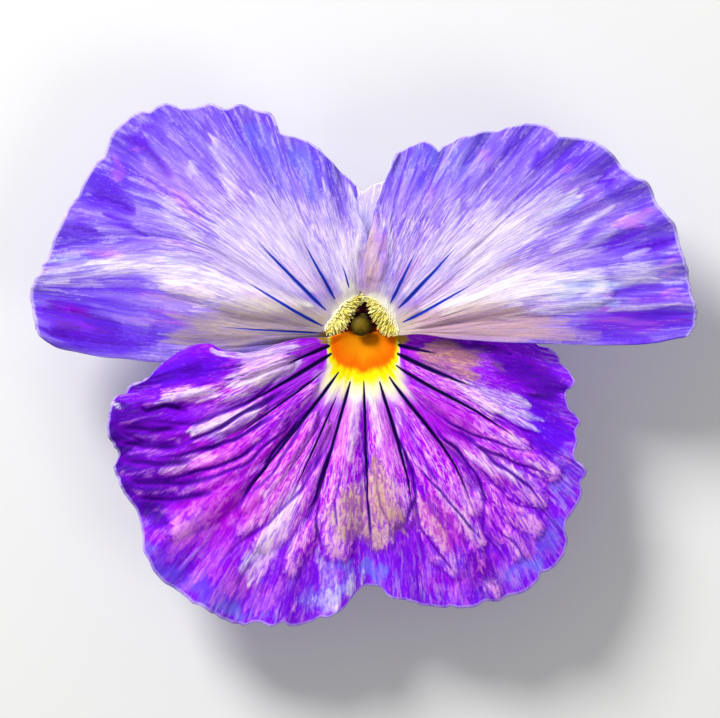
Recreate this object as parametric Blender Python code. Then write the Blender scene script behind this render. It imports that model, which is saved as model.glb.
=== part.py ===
# A pansy flower, picked and laid face up on its stalk and its two back petals.
# Metres, +Z up. The face looks up: +X is the viewer's right, +Y is the top of the bloom.
# The origin is on the table, under the middle of the bloom's outline.

import math
import random

import bmesh
import bpy
import numpy as np
from mathutils import Vector

MM = 0.001
PETAL_THICKNESS = 0.65
SEAT_GAP = 0.3

# The throat's axis stands upright through this point (mm)
AXIS = np.array([-0.1, 4.8])

# The tube of petal claws, in mm from the axis and from the table
CLAW_RADIUS = 1.8
CLAW_TOP_RADIUS = 1.95
RECEPTACLE_TOP = 4.4
CLAW_FOOT = RECEPTACLE_TOP + SEAT_GAP

# How far a petal's back follows the turn from claw to limb, as shares of its thickness
CLAW_BEND = 0.7
LIP_BEND = 0.3

# Rows of points along a petal: 0 claw foot, 1 claw top, 2 throat lip, 3 middle of the limb, 4 rim
FACE_ROWS = [0, 0.6, 1, 1.35, 1.7, 2, 2.25, 2.5, 2.75, 3, 3.25, 3.5, 3.7, 3.85, 4]
BACK_ROWS = [0, 0.6, 1, 1.5, 2, 2.5, 3, 3.35, 3.7, 3.87, 4]

# Each petal is a fan of rays. A ray climbs its claw, crosses the throat's lip, passes the
# middle of the limb and ends on the outline. Its three points are (x, y, height) in mm.
# The claw's sector is in degrees, leave is the height where its first and last ray turn
# outwards, ruffles are waves along the rim and their height, and puff is the rise between rays.
LOWER_PETAL = {
    "rows": FACE_ROWS,
    "claw": (-122, -58),
    "leave": (9.0, 8.2),
    "first_edge": [(-3.6, 2.8), (-6.4, 2.8), (-8.4, 2.3), (-10.2, 1.6), (-11.4, 1.3), (-12.9, 1.4),
                   (-14.4, 1.7), (-15.3, 2.2), (-16.4, 2.2), (-17.4, 2.0), (-18.6, 1.4), (-20.1, 0.3)],
    "last_edge": [(3.6, 2.5), (7.0, 3.1), (11.0, 3.1), (13.6, 2.8), (16.4, 2.2), (17.3, 1.8), (18.6, 1.6)],
    "rim": [(-20.1, 0.3), (-20.9, -0.5), (-21.6, -1.3), (-22.6, -1.8), (-23.5, -2.2), (-24.1, -3.0),
            (-24.6, -2.9), (-25.2, -3.6), (-25.5, -4.9), (-25.7, -6.1), (-25.6, -7.1), (-25.1, -7.9),
            (-24.6, -8.8), (-24.9, -9.6), (-25.1, -10.4), (-24.7, -11.3), (-24.0, -12.7), (-23.1, -14.0),
            (-22.6, -15.3), (-22.2, -16.5), (-22.2, -18.4), (-21.7, -19.4), (-20.7, -21.0), (-20.1, -21.7),
            (-18.8, -22.4), (-17.4, -23.6), (-15.9, -24.3), (-14.2, -25.4), (-12.0, -26.0), (-10.9, -25.7),
            (-9.4, -26.1), (-8.1, -25.7), (-7.4, -26.1), (-5.2, -25.7), (-4.4, -25.2), (-3.6, -25.2),
            (-2.4, -24.6), (-1.4, -23.6), (-0.6, -22.6), (0.2, -22.1), (0.8, -22.0), (1.6, -22.1),
            (2.7, -23.2), (4.6, -23.6), (6.6, -24.2), (8.6, -24.2), (11.1, -24.2), (12.3, -23.6),
            (13.6, -23.6), (14.4, -23.1), (15.8, -22.9), (17.4, -21.5), (17.7, -20.7), (18.6, -20.5),
            (19.6, -19.7), (20.4, -17.8), (20.1, -16.7), (20.3, -15.5), (21.1, -14.4), (21.9, -12.7),
            (21.7, -11.6), (22.3, -10.7), (21.2, -9.5), (21.0, -8.8), (21.4, -7.6), (21.3, -6.6),
            (21.7, -5.6), (20.6, -4.3), (20.3, -2.8), (21.1, -1.7), (20.6, -0.6), (19.8, 0.2),
            (19.5, 0.9), (18.6, 1.6)],
    "rays": [((-3.6, 2.8, 10.4), (-12.9, 1.4, 11.6), (-20.1, 0.3, 11.4)),
             ((-3.6, 2.4, 10.3), (-14.0, -0.7, 11.8), (-23.5, -2.2, 11.3)),
             ((-3.5, 2.0, 10.1), (-14.9, -2.7, 11.5), (-25.6, -7.1, 10.8)),
             ((-3.3, 1.2, 10.0), (-14.2, -5.1, 11.3), (-25.1, -10.4, 10.4)),
             ((-3.1, 0.2, 9.9), (-13.6, -7.5, 11.2), (-23.1, -14.0, 10.1)),
             ((-2.6, -0.7, 9.8), (-10.0, -10.4, 11.1), (-18.8, -22.4, 9.8)),
             ((-2.0, -1.3, 9.8), (-7.0, -12.6, 11.0), (-13.2, -25.7, 9.5)),
             ((-1.4, -1.7, 9.8), (-4.6, -13.4, 11.0), (-7.4, -26.1, 9.5)),
             ((0.0, -1.9, 9.8), (0.3, -11.4, 10.9), (0.8, -22.0, 9.6)),
             ((1.6, -1.7, 9.8), (4.5, -12.0, 10.9), (5.8, -24.0, 9.5)),
             ((2.6, -1.2, 9.8), (9.4, -10.6, 10.9), (13.6, -23.6, 9.5)),
             ((3.1, -0.7, 9.7), (11.6, -8.6, 10.8), (19.6, -19.7, 9.5)),
             ((3.3, 0.0, 9.6), (12.6, -5.4, 10.7), (21.8, -12.3, 9.7)),
             ((3.4, 1.2, 9.5), (12.4, -2.6, 10.6), (21.7, -5.6, 9.9)),
             ((3.5, 2.1, 9.3), (12.0, 0.4, 10.4), (21.1, -1.7, 10.1)),
             ((3.6, 2.5, 9.0), (11.2, 3.1, 10.1), (18.6, 1.6, 10.1))],
    "columns_per_ray": 3,
    "ruffles": (13, 0.45),
    "puff": 0.22,
}
LEFT_SIDE_PETAL = {
    "rows": FACE_ROWS,
    "claw": (228, 146),
    "leave": (7.2, 7.3),
    "first_edge": [(-3.8, 2.8), (-7.4, 2.1), (-10.4, 1.4), (-14.4, 0.7), (-17.4, 0.4), (-21.4, 0.4),
                   (-23.9, 0.7), (-26.4, 0.9), (-28.9, 1.4), (-30.7, 1.8), (-31.9, 2.5)],
    "last_edge": [(-0.5, 7.1), (-0.1, 8.6), (0.2, 10.4), (0.4, 12.6), (0.0, 14.2), (-0.5, 15.3),
                  (-0.6, 16.3), (-0.9, 18.2)],
    "rim": [(-31.9, 2.5), (-32.6, 3.2), (-33.0, 4.9), (-33.4, 6.9), (-33.2, 8.1), (-32.3, 9.7),
            (-31.9, 10.6), (-31.4, 11.9), (-30.6, 13.7), (-29.8, 15.4), (-29.3, 16.4), (-28.6, 17.0),
            (-28.0, 18.5), (-26.9, 20.2), (-26.1, 21.0), (-25.3, 22.9), (-24.4, 24.0), (-23.4, 24.9),
            (-22.4, 25.4), (-21.6, 25.5), (-20.9, 25.9), (-19.6, 26.2), (-18.2, 25.7), (-17.2, 25.8),
            (-15.6, 26.2), (-14.0, 25.7), (-12.6, 26.2), (-10.9, 25.7), (-9.5, 25.2), (-8.8, 23.7),
            (-8.3, 23.2), (-6.6, 22.9), (-5.6, 22.4), (-4.4, 21.6), (-2.4, 19.6), (-0.9, 18.2)],
    "rays": [((-3.8, 2.8, 8.6), (-17.4, 0.4, 9.9), (-31.9, 2.5, 9.9)),
             ((-4.0, 3.3, 9.1), (-17.0, 4.2, 10.5), (-33.4, 6.9, 10.2)),
             ((-3.9, 3.9, 9.4), (-17.4, 9.2, 11.1), (-32.3, 9.7, 10.4)),
             ((-3.7, 4.5, 9.6), (-17.0, 13.2, 11.4), (-29.3, 16.4, 10.8)),
             ((-3.3, 5.1, 9.7), (-13.8, 15.4, 11.5), (-24.4, 24.0, 11.2)),
             ((-2.7, 5.8, 9.7), (-10.4, 17.0, 11.4), (-17.2, 25.8, 11.3)),
             ((-2.1, 6.5, 9.6), (-7.4, 15.6, 11.2), (-12.6, 26.2, 11.2)),
             ((-1.3, 6.95, 9.5), (-3.6, 14.6, 10.7), (-5.6, 22.4, 10.9)),
             ((-0.5, 7.1, 9.4), (0.4, 12.0, 10.1), (-0.9, 18.2, 10.2))],
    "columns_per_ray": 4,
    "ruffles": (9, 0.4),
    "puff": 0.0,
}
RIGHT_SIDE_PETAL = {
    "rows": FACE_ROWS,
    "claw": (34, -38),
    "leave": (9.2, 9.4),
    "first_edge": [(0.0, 7.1), (-0.4, 7.9), (-0.4, 9.1), (-0.3, 10.4), (0.0, 11.6), (0.4, 12.7), (0.8, 14.4),
                   (1.0, 15.5), (1.4, 16.6), (1.9, 18.0), (2.5, 19.4)],
    "last_edge": [(3.7, 3.1), (4.8, 3.5), (6.8, 3.1), (8.6, 2.8), (11.1, 2.6), (13.6, 2.4), (18.6, 2.2),
                  (23.6, 2.1), (28.6, 2.3), (31.1, 2.8), (32.4, 3.0)],
    "rim": [(2.5, 19.4), (3.2, 20.7), (3.7, 21.4), (4.6, 22.0), (5.5, 22.4), (6.1, 22.4), (7.2, 21.8),
            (7.6, 21.5), (8.0, 21.9), (9.1, 22.6), (9.8, 23.0), (10.6, 23.0), (11.6, 23.3), (13.6, 23.6),
            (15.1, 24.0), (17.0, 24.2), (18.6, 23.8), (19.5, 23.0), (20.1, 22.8), (22.1, 22.7), (23.2, 22.4),
            (24.7, 21.4), (26.1, 19.7), (27.4, 18.7), (28.2, 18.5), (28.6, 18.0), (29.5, 16.1), (30.7, 14.6),
            (31.1, 14.0), (31.7, 11.7), (32.4, 9.6), (32.7, 8.0), (33.1, 6.4), (33.3, 5.1), (33.1, 3.9),
            (32.4, 3.0)],
    "rays": [((0.0, 7.1, 10.9), (0.4, 12.7, 11.4), (2.5, 19.4, 11.5)),
             ((1.05, 6.9, 10.6), (3.4, 14.2, 11.9), (6.1, 22.4, 11.7)),
             ((1.95, 6.35, 10.5), (7.8, 15.2, 12.1), (13.6, 23.6, 11.8)),
             ((2.5, 5.5, 10.4), (11.0, 14.4, 12.2), (19.5, 23.0, 11.8)),
             ((3.0, 5.0, 10.3), (14.0, 13.6, 12.2), (25.6, 20.5, 11.6)),
             ((3.4, 4.5, 10.3), (16.0, 11.0, 12.1), (30.0, 15.7, 11.3)),
             ((3.6, 4.0, 10.3), (17.4, 8.2, 12.0), (32.4, 9.6, 11.1)),
             ((3.7, 3.5, 10.4), (17.4, 5.2, 11.8), (33.3, 5.1, 11.0)),
             ((3.7, 3.1, 10.5), (17.0, 2.3, 11.6), (32.4, 3.0, 11.2))],
    "columns_per_ray": 4,
    "ruffles": (10, 0.4),
    "puff": 0.0,
}
LEFT_UPPER_PETAL = {
    "rows": BACK_ROWS,
    "claw": (134, 95),
    "leave": (5.8, 5.8),
    "first_edge": [(-2.3, 7.0), (-8.4, 6.8), (-14.5, 9.0)],
    "last_edge": [(-0.3, 8.0), (1.2, 12.0), (0.9, 17.6)],
    "rim": [(-14.5, 9.0), (-16.6, 13.4), (-16.0, 17.8), (-13.2, 20.8), (-9.0, 21.4), (-4.6, 19.8),
            (-2.2, 18.6), (-1.1, 18.2), (-0.4, 17.9), (0.9, 17.6)],
    "rays": [((-2.3, 7.0, 6.5), (-8.4, 6.8, 3.8), (-14.5, 9.0, -0.6)),
             ((-2.0, 7.4, 6.5), (-9.0, 11.4, 3.9), (-16.0, 17.8, -0.8)),
             ((-1.5, 7.8, 6.5), (-6.0, 13.6, 4.0), (-9.0, 21.4, -0.6)),
             ((-0.9, 8.0, 6.5), (-2.2, 13.6, 3.9), (-2.2, 18.6, 1.0)),
             ((-0.3, 8.0, 6.4), (1.0, 12.0, 4.3), (0.9, 17.6, 1.5))],
    "columns_per_ray": 4,
    "ruffles": (5, 0.0),
    "puff": 0.0,
}
RIGHT_UPPER_PETAL = {
    "rows": BACK_ROWS,
    "claw": (85, 46),
    "leave": (6.9, 5.9),
    "first_edge": [(0.1, 8.0), (-0.5, 12.0), (0.1, 17.8)],
    "last_edge": [(2.1, 7.0), (8.5, 6.6), (14.8, 8.8)],
    "rim": [(0.1, 17.8), (0.6, 18.1), (1.1, 18.5), (2.0, 18.7), (2.7, 19.4), (4.6, 20.4), (8.8, 20.8),
            (13.2, 20.6), (16.4, 18.0), (17.2, 13.6), (14.8, 8.8)],
    "rays": [((0.1, 8.0, 7.6), (-0.6, 12.0, 5.7), (0.1, 17.8, 2.9)),
             ((0.8, 8.0, 7.3), (2.0, 13.4, 5.1), (2.7, 19.4, 2.0)),
             ((1.4, 7.8, 6.9), (6.4, 13.6, 4.3), (8.8, 20.8, -0.6)),
             ((1.9, 7.4, 6.6), (9.4, 11.4, 3.9), (16.4, 18.0, -0.8)),
             ((2.1, 7.0, 6.5), (8.6, 6.6, 3.8), (14.8, 8.8, -0.6))],
    "columns_per_ray": 4,
    "ruffles": (5, 0.0),
    "puff": 0.0,
}

BEARD_SEED = 7
BRISTLES = 26
BRISTLE_LENGTH = (1.0, 1.5)
BRISTLE_RADII = (0.17, 0.06)
BRISTLE_ROOT = 0.35
BEARD_ROWS = (2.0, 2.2)

SEPAL_ANGLES = (90, 18, -54, -126, 162)
SEPAL_LENGTH = 7.6
SEPAL_WIDTH = 4.0
SEPAL_THICKNESS = 0.6

STALK_RADIUS = 0.9
STALK_SIDES = 12
SPUR_RADIUS = 1.05

STAMEN_COUNT = 5
STAMEN_RADIUS = 1.1


def material(name, colour, roughness):
    """A plain Principled material."""
    made = bpy.data.materials.new(name)
    made.use_nodes = True
    shader = made.node_tree.nodes["Principled BSDF"]
    shader.inputs["Base Color"].default_value = (*colour, 1)
    shader.inputs["Roughness"].default_value = roughness
    shader.inputs["Metallic"].default_value = 0
    return made


def hermite(knots, values, tangents, at):
    """Read the cubic through values with the given tangents at each place in at."""
    at = np.clip(np.asarray(at, float), knots[0], knots[-1])
    left = np.clip(np.searchsorted(knots, at, side="right") - 1, 0, len(knots) - 2)
    width = (knots[left + 1] - knots[left])[:, None]
    t = (at - knots[left])[:, None] / width
    return ((1 + 2 * t) * (1 - t) ** 2 * values[left] + t * (1 - t) ** 2 * width * tangents[left]
            + t * t * (3 - 2 * t) * values[left + 1] - t * t * (1 - t) * width * tangents[left + 1])


def through(points, knots, at):
    """A smooth curve through the points, which sit at knots along it."""
    points = np.asarray(points, float)
    knots = np.asarray(knots, float)
    slope = np.diff(points, axis=0) / np.diff(knots)[:, None]
    inner = (points[2:] - points[:-2]) / (knots[2:] - knots[:-2])[:, None]
    return hermite(knots, points, np.vstack([slope[:1], inner, slope[-1:]]), at)


def level(points, at):
    """A curve through points one unit apart that never swings past them."""
    points = np.asarray(points, float)
    slope = np.diff(points, axis=0)
    same_way = slope[:-1] * slope[1:] > 0
    total = np.where(same_way, slope[:-1] + slope[1:], 1)
    inner = np.where(same_way, 2 * slope[:-1] * slope[1:] / total, 0)
    return hermite(np.arange(len(points), dtype=float), points, np.vstack([slope[:1], inner, slope[-1:]]), at)


def lengths(points):
    """Distance along the points from the first one."""
    steps = np.linalg.norm(np.diff(np.asarray(points, float), axis=0), axis=1)
    return np.concatenate([[0], np.cumsum(steps)])


def along(points, shares):
    """A smooth curve through the points, read at shares of its length."""
    chord = lengths(points)
    dense = through(points, chord, np.linspace(0, chord[-1], 40 * len(points)))
    walked = lengths(dense)
    return np.stack([np.interp(np.asarray(shares) * walked[-1], walked, dense[:, k])
                     for k in range(dense.shape[1])], axis=1)


def nearest_share(points, target):
    """The share of the curve's length at its nearest place to the target."""
    shares = np.linspace(0, 1, 2001)
    return shares[np.argmin(np.linalg.norm(along(points, shares) - np.asarray(target), axis=1))]


def fade(distance):
    """1 at 0, falling smoothly to 0 at 1."""
    t = np.clip(distance, 0, 1)
    return (1 - t) ** 2 * (1 + 2 * t)


def petal_grid(petal, rows, places, depth=0.0):
    """A face of the petal in mm, one column for each place among the rays: its upper face, or
    with a depth the face that lies this deep below and outside it."""
    rays = np.array(petal["rays"], float)
    last = len(rays) - 1
    throat = level(rays[:, 0], places)
    middle = level(rays[:, 1], places)
    ends = [nearest_share(petal["rim"], ray[2][:2]) for ray in petal["rays"]]
    rim_share = level(np.array(ends)[:, None], places)[:, 0]
    rim_height = level(rays[:, 2, 2:], places)
    rim = np.hstack([along(petal["rim"], rim_share), rim_height])
    angle = np.radians(np.interp(places, (0, last), petal["claw"]))
    leave = np.interp(places, (0, last), petal["leave"])
    outward = np.stack([np.cos(angle), np.sin(angle)], axis=1)
    foot = np.column_stack([AXIS + (CLAW_RADIUS + depth) * outward, np.full(len(angle), CLAW_FOOT)])
    top = np.column_stack([AXIS + (CLAW_TOP_RADIUS + depth) * outward, leave - CLAW_BEND * depth])
    away = middle[:, :2] - throat[:, :2]
    throat[:, :2] += LIP_BEND * depth * away / np.linalg.norm(away, axis=1)[:, None]
    for part_of_ray in (throat, middle, rim):
        part_of_ray[:, 2] -= depth

    grid = np.zeros((len(places), len(rows), 3))
    rows = np.asarray(rows, float)
    for column in range(len(places)):
        knots = np.array([foot[column], top[column], throat[column], middle[column], rim[column]])
        chord = lengths(knots)
        reach = np.interp(rows, range(5), chord)
        grid[column] = through(knots, chord, reach)
        limb = np.clip((reach - chord[2]) / (chord[4] - chord[2]), 0, 1)
        for edge, off in (("first_edge", places[column]), ("last_edge", last - places[column])):
            if off < 1:
                side = 0 if edge == "first_edge" else -1
                ray = rays[side]
                plain_knots = np.array([ray[0][:2], ray[1][:2], ray[2][:2]])
                plain = along(plain_knots, limb)
                grid[column, :, :2] += fade(off) * (along(petal[edge], limb) - plain) * (rows >= 2)[:, None]
    outer = np.clip(rows - 3, 0, 1)[None, :] ** 2
    count, swing = petal["ruffles"]
    grid[:, :, 2] += swing * outer * np.sin(2 * np.pi * count * rim_share)[:, None]
    limb_middle = np.sin(np.pi * np.clip((rows - 2) / 2, 0, 1))[None, :]
    grid[:, :, 2] += petal["puff"] * limb_middle * (np.sin(np.pi * places) ** 2)[:, None]
    return grid


def new_object(name, bm, finish):
    mesh = bpy.data.meshes.new(name)
    bm.to_mesh(mesh)
    bm.free()
    made = bpy.data.objects.new(name, mesh)
    bpy.context.scene.collection.objects.link(made)
    if finish:
        mesh.materials.append(finish)
    return made


def sheet(name, upper, lower, finish):
    """A closed sheet between two grids of points in mm, split into triangles alike on both."""
    columns, rows = upper.shape[:2]
    bm = bmesh.new()
    above, below = ([[bm.verts.new(Vector(grid[c, r]) * MM) for r in range(rows)] for c in range(columns)]
                    for grid in (upper, lower))
    for c in range(columns - 1):
        for r in range(rows - 1):
            corners = [(c, r), (c + 1, r), (c + 1, r + 1), (c, r + 1)]
            if (c + r) % 2:
                corners = corners[1:] + corners[:1]
            for triangle in ((0, 1, 2), (0, 2, 3)):
                places = [corners[k] for k in triangle]
                bm.faces.new([above[i][j] for i, j in places])
                bm.faces.new([below[i][j] for i, j in reversed(places)])
    border = [(c, 0) for c in range(columns - 1)] + [(columns - 1, r) for r in range(rows - 1)]
    border += [(c, rows - 1) for c in range(columns - 1, 0, -1)] + [(0, r) for r in range(rows - 1, 0, -1)]
    for (i, j), (k, m) in zip(border, border[1:] + border[:1]):
        bm.faces.new((above[k][m], above[i][j], below[i][j]))
        bm.faces.new((above[k][m], below[i][j], below[k][m]))
    bmesh.ops.recalc_face_normals(bm, faces=bm.faces)
    return new_object(name, bm, finish)


def apply_modifiers(made):
    """Make the object's mesh what its modifiers show."""
    graph = bpy.context.evaluated_depsgraph_get()
    graph.update()
    shown = bpy.data.meshes.new_from_object(made.evaluated_get(graph))
    made.modifiers.clear()
    made.data = shown


def join(made, pieces, solver="EXACT"):
    """Fuse the pieces into the object by one Boolean union, and remove them."""
    group = bpy.data.collections.new(made.name + "_pieces")
    bpy.context.scene.collection.children.link(group)
    for piece in pieces:
        group.objects.link(piece)
    fuse = made.modifiers.new("Fuse", "BOOLEAN")
    fuse.operation = "UNION"
    fuse.operand_type = "COLLECTION"
    fuse.collection = group
    fuse.solver = solver
    apply_modifiers(made)
    for piece in pieces:
        bpy.data.objects.remove(piece)
    bpy.data.collections.remove(group)


def tube(name, path, radii, sides, finish):
    """A round closed piece along the path; path and radii are in mm."""
    path = np.asarray(path, float)
    bm = bmesh.new()
    rings = []
    across = None
    for i, centre in enumerate(path):
        ahead = path[min(i + 1, len(path) - 1)] - path[max(i - 1, 0)]
        ahead = Vector(ahead).normalized()
        if across is None:
            across = ahead.orthogonal().normalized()
        across = (across - ahead * across.dot(ahead)).normalized()
        beside = ahead.cross(across)
        turns = [2 * math.pi * k / sides for k in range(sides)]
        radius = float(radii[i])
        rings.append([bm.verts.new((Vector(centre) + radius * (math.cos(t) * across + math.sin(t) * beside)) * MM)
                      for t in turns])
    for low, high in zip(rings, rings[1:]):
        for k in range(sides):
            bm.faces.new((low[k], low[(k + 1) % sides], high[(k + 1) % sides], high[k]))
    bm.faces.new(reversed(rings[0]))
    bm.faces.new(rings[-1])
    bmesh.ops.recalc_face_normals(bm, faces=bm.faces)
    bmesh.ops.triangulate(bm, faces=bm.faces)
    return new_object(name, bm, finish)


def at_axis(points):
    """Points given from the throat's axis, in the part's frame."""
    return [(AXIS[0] + x, AXIS[1] + y, z) for x, y, z in points]


def petal_object(name, petal, finish):
    """A petal, which lies flat where it would dip below the table."""
    last = len(petal["rays"]) - 1
    places = np.linspace(0, last, last * petal["columns_per_ray"] + 1)
    upper = petal_grid(petal, petal["rows"], places)
    lower = petal_grid(petal, petal["rows"], places, PETAL_THICKNESS)
    upper[:, :, 2] = np.maximum(upper[:, :, 2], PETAL_THICKNESS)
    lower[:, :, 2] = np.maximum(lower[:, :, 2], 0)
    return sheet(name, upper, lower, finish)


def beard(petal, draw):
    """Bristles in two staggered rows along the throat lip of a side petal."""
    last = len(petal["rays"]) - 1
    grid = petal_grid(petal, BEARD_ROWS, np.linspace(0.6, last - 0.4, BRISTLES))
    pieces = []
    for number, column in enumerate(grid):
        root = column[number % 2]
        inward = np.array([*(AXIS - root[:2]), 0.0])
        inward /= np.linalg.norm(inward)
        lean = inward + np.array([draw.uniform(-0.3, 0.3), draw.uniform(-0.3, 0.1), draw.uniform(0.7, 1.0)])
        lean /= np.linalg.norm(lean)
        tip = root + draw.uniform(*BRISTLE_LENGTH) * lean
        pieces.append(tube("bristle", [root - BRISTLE_ROOT * lean, tip], BRISTLE_RADII, 3, None))
    return pieces


def make_petals():
    violet = material("side_petal", (0.30, 0.22, 0.85), 0.55)
    purple = material("lower_petal", (0.36, 0.03, 0.62), 0.55)
    lilac = material("upper_petal", (0.62, 0.55, 0.90), 0.55)
    petal_object("petal_upper_left", LEFT_UPPER_PETAL, lilac)
    petal_object("petal_upper_right", RIGHT_UPPER_PETAL, lilac)
    draw = random.Random(BEARD_SEED)
    for name, petal in (("petal_side_left", LEFT_SIDE_PETAL), ("petal_side_right", RIGHT_SIDE_PETAL)):
        made = petal_object(name, petal, violet)
        join(made, beard(petal, draw))
    lower = petal_object("petal_lower", LOWER_PETAL, purple)
    route = along(at_axis([(0, -1.95, 6.9), (0, -3.2, 6.7), (0, -4.5, 5.6), (0, -5.0, 4.0), (0, -4.9, 2.4)]),
                  np.linspace(0, 1, 9))
    widths = SPUR_RADIUS * np.array([0.8, 0.9, 1, 1, 1, 1, 0.95, 0.8, 0.4])
    join(lower, [tube("spur", route, widths, 10, None)])


def make_sepals():
    green = material("sepal", (0.13, 0.30, 0.08), 0.6)
    rows = np.linspace(0, 1, 9)
    for number, degrees in enumerate(SEPAL_ANGLES):
        under_back_petals = degrees in (90, 18, 162)
        middle_height, tip_height = (4.0, 1.0) if under_back_petals else (5.6, 6.6)
        spine = through([(3.9, 2.3), (3.55, 3.6), (3.85, 4.4), (5.6, middle_height),
                         (3.55 + SEPAL_LENGTH, tip_height)], [0, 0.14, 0.25, 0.48, 1], rows)
        width = SEPAL_WIDTH * np.interp(rows, [0, 0.14, 0.25, 0.5, 0.75, 0.92, 1],
                                        [0.5, 0.62, 0.55, 0.95, 0.8, 0.4, 0.1])
        angle = math.radians(degrees)
        out = np.array([math.cos(angle), math.sin(angle)])
        side = np.array([-out[1], out[0]])
        run = np.gradient(spine, axis=0)
        run /= np.linalg.norm(run, axis=1)[:, None]
        normal = np.column_stack([run[:, 1], -run[:, 0]])
        faces = []
        for depth in (0, SEPAL_THICKNESS):
            grid = np.zeros((5, len(rows), 3))
            for c, share in enumerate(np.linspace(-0.5, 0.5, 5)):
                cupped = spine + (depth + 0.3 * (2 * share) ** 2) * normal
                grid[c, :, :2] = AXIS + np.outer(cupped[:, 0], out) + np.outer(share * width, side)
                grid[c, :, 2] = cupped[:, 1]
            faces.append(grid)
        sheet(f"sepal_{number + 1}", *faces, green)


def make_stalk():
    green = material("stalk", (0.16, 0.36, 0.10), 0.55)
    route = along(at_axis([(0.0, 0.0, 3.9), (0.2, -0.3, 2.6), (1.3, -1.6, 1.3), (2.5, -4.6, 0.93), (2.3, -9.0, 0.9),
                           (1.2, -14.0, 0.9), (0.5, -18.5, 0.9), (0.3, -22.5, 0.9)]), np.linspace(0, 1, 22))
    stalk = tube("stalk", route, [STALK_RADIUS] * len(route), STALK_SIDES, green)
    cup = tube("cup", at_axis([(0, 0, 2.9), (0, 0, 3.3), (0, 0, 3.8), (0, 0, RECEPTACLE_TOP)]),
               [1.2, 2.2, 2.9, 3.0], 20, None)
    scales = []
    for side, y in ((-1, -10.6), (1, -12.0)):
        x = 2.0 if side < 0 else 1.65
        scales.append(tube("scale", at_axis([(x, y + 0.6, 1.1), (x + side * 1.2, y, 1.2), (x + side * 2.2, y - 1.4, 1.0)]),
                           [0.45, 0.4, 0.12], 5, None))
    join(stalk, [cup, *scales])


def make_pistil():
    green = material("pistil", (0.30, 0.34, 0.05), 0.45)
    body = at_axis([(0, 0, CLAW_FOOT), (0, 0, 5.2), (0, 0, 6.0), (0, 0, 6.8), (0, -0.05, 7.3), (0, -0.2, 8.2),
                    (-0.1, -0.6, 9.0), (-0.2, -0.8, 9.5), (-0.2, -0.8, 9.9), (-0.2, -0.8, 10.4),
                    (-0.2, -0.8, 10.9), (-0.2, -0.8, 11.2)])
    tube("pistil", body, [0.45, 0.52, 0.55, 0.45, 0.35, 0.35, 0.4, 0.6, 0.9, 1.0, 0.75, 0.3], 12, green)


def make_stamens():
    ochre = material("stamen", (0.55, 0.33, 0.06), 0.6)
    for number in range(STAMEN_COUNT):
        angle = math.radians(126 + 360 * number / STAMEN_COUNT)
        x, y = math.cos(angle), math.sin(angle)
        column = [(STAMEN_RADIUS * x, STAMEN_RADIUS * y, z) for z in (CLAW_FOOT, 5.1, 6.4, 7.0, 7.5)]
        column[-1] = (0.85 * x, 0.85 * y, 7.5)
        tube(f"stamen_{number + 1}", at_axis(column), [0.14, 0.24, 0.26, 0.22, 0.1], 8, ochre)


def main():
    for made in list(bpy.data.objects):
        bpy.data.objects.remove(made)
    make_petals()
    make_sepals()
    make_stalk()
    make_pistil()
    make_stamens()


main()
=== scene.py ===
# %% [markdown]
# # A pansy, picked and laid face up
# The flower is a flat face of five petals on a short tube, with a green cup of sepals and a
# stalk behind it. It lies on a table, so the stalk and the two back petals carry it.
# This lesson dresses the plain CAD solids: fine petals with veins, folds and markings, a
# bearded throat, the pistil and the stamens, sepals and a stalk.

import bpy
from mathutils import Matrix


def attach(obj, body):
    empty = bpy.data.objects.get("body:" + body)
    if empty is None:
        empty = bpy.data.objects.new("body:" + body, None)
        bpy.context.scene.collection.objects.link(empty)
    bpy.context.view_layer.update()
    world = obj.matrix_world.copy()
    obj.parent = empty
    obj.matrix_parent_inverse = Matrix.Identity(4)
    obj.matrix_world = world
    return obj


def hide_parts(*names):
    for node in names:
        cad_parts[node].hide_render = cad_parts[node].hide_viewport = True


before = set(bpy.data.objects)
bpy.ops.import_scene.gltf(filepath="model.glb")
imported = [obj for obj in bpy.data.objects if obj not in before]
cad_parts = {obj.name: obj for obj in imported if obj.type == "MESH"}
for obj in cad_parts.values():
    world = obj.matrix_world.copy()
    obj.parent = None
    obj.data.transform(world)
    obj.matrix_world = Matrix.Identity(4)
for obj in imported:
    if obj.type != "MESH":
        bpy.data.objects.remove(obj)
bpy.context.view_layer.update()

# %% [markdown]
# Everything here is in metres, as the frame is, but a flower is easier to describe in
# millimetres. The petals' markings are described on a plan: a view straight down, measured in
# tenths of a millimetre from its upper left corner, so a helper turns plan places into mm.

# %% Units and small helpers
import math
import random
from types import SimpleNamespace

import bpy
import numpy as np
from mathutils import Vector

MM = 0.001
PLAN_ORIGIN = (364, 366)
PER_MM = 10


def plan(points):
    """Places on the plan, as x and y in mm in the part's frame."""
    points = np.asarray(points, float)
    across, up = points[..., 0] - PLAN_ORIGIN[0], PLAN_ORIGIN[1] - points[..., 1]
    return np.stack([across, up], axis=-1) / PER_MM


def linear(red, green, blue):
    """A colour given as it looks on a screen, 0 to 255, in the linear values that shaders use."""
    shares = [v / 255 for v in (red, green, blue)]
    return tuple(v / 12.92 if v <= 0.04045 else ((v + 0.055) / 1.055) ** 2.4 for v in shares)


def deselect():
    """Leave nothing selected, so that the next operator acts only on what it adds."""
    if bpy.context.object and bpy.context.object.mode != "OBJECT":
        bpy.ops.object.mode_set(mode="OBJECT")
    bpy.ops.object.select_all(action="DESELECT")


def only(piece):
    """Select one piece and make it active."""
    deselect()
    piece.select_set(True)
    bpy.context.view_layer.objects.active = piece


def settle(piece):
    """Put the piece's place into its mesh and let it ride on the flower's one body."""
    only(piece)
    bpy.ops.object.transform_apply(location=True, rotation=True, scale=True)
    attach(piece, "root")
    print(piece.name, len(piece.data.polygons), "faces")
    return piece


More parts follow.
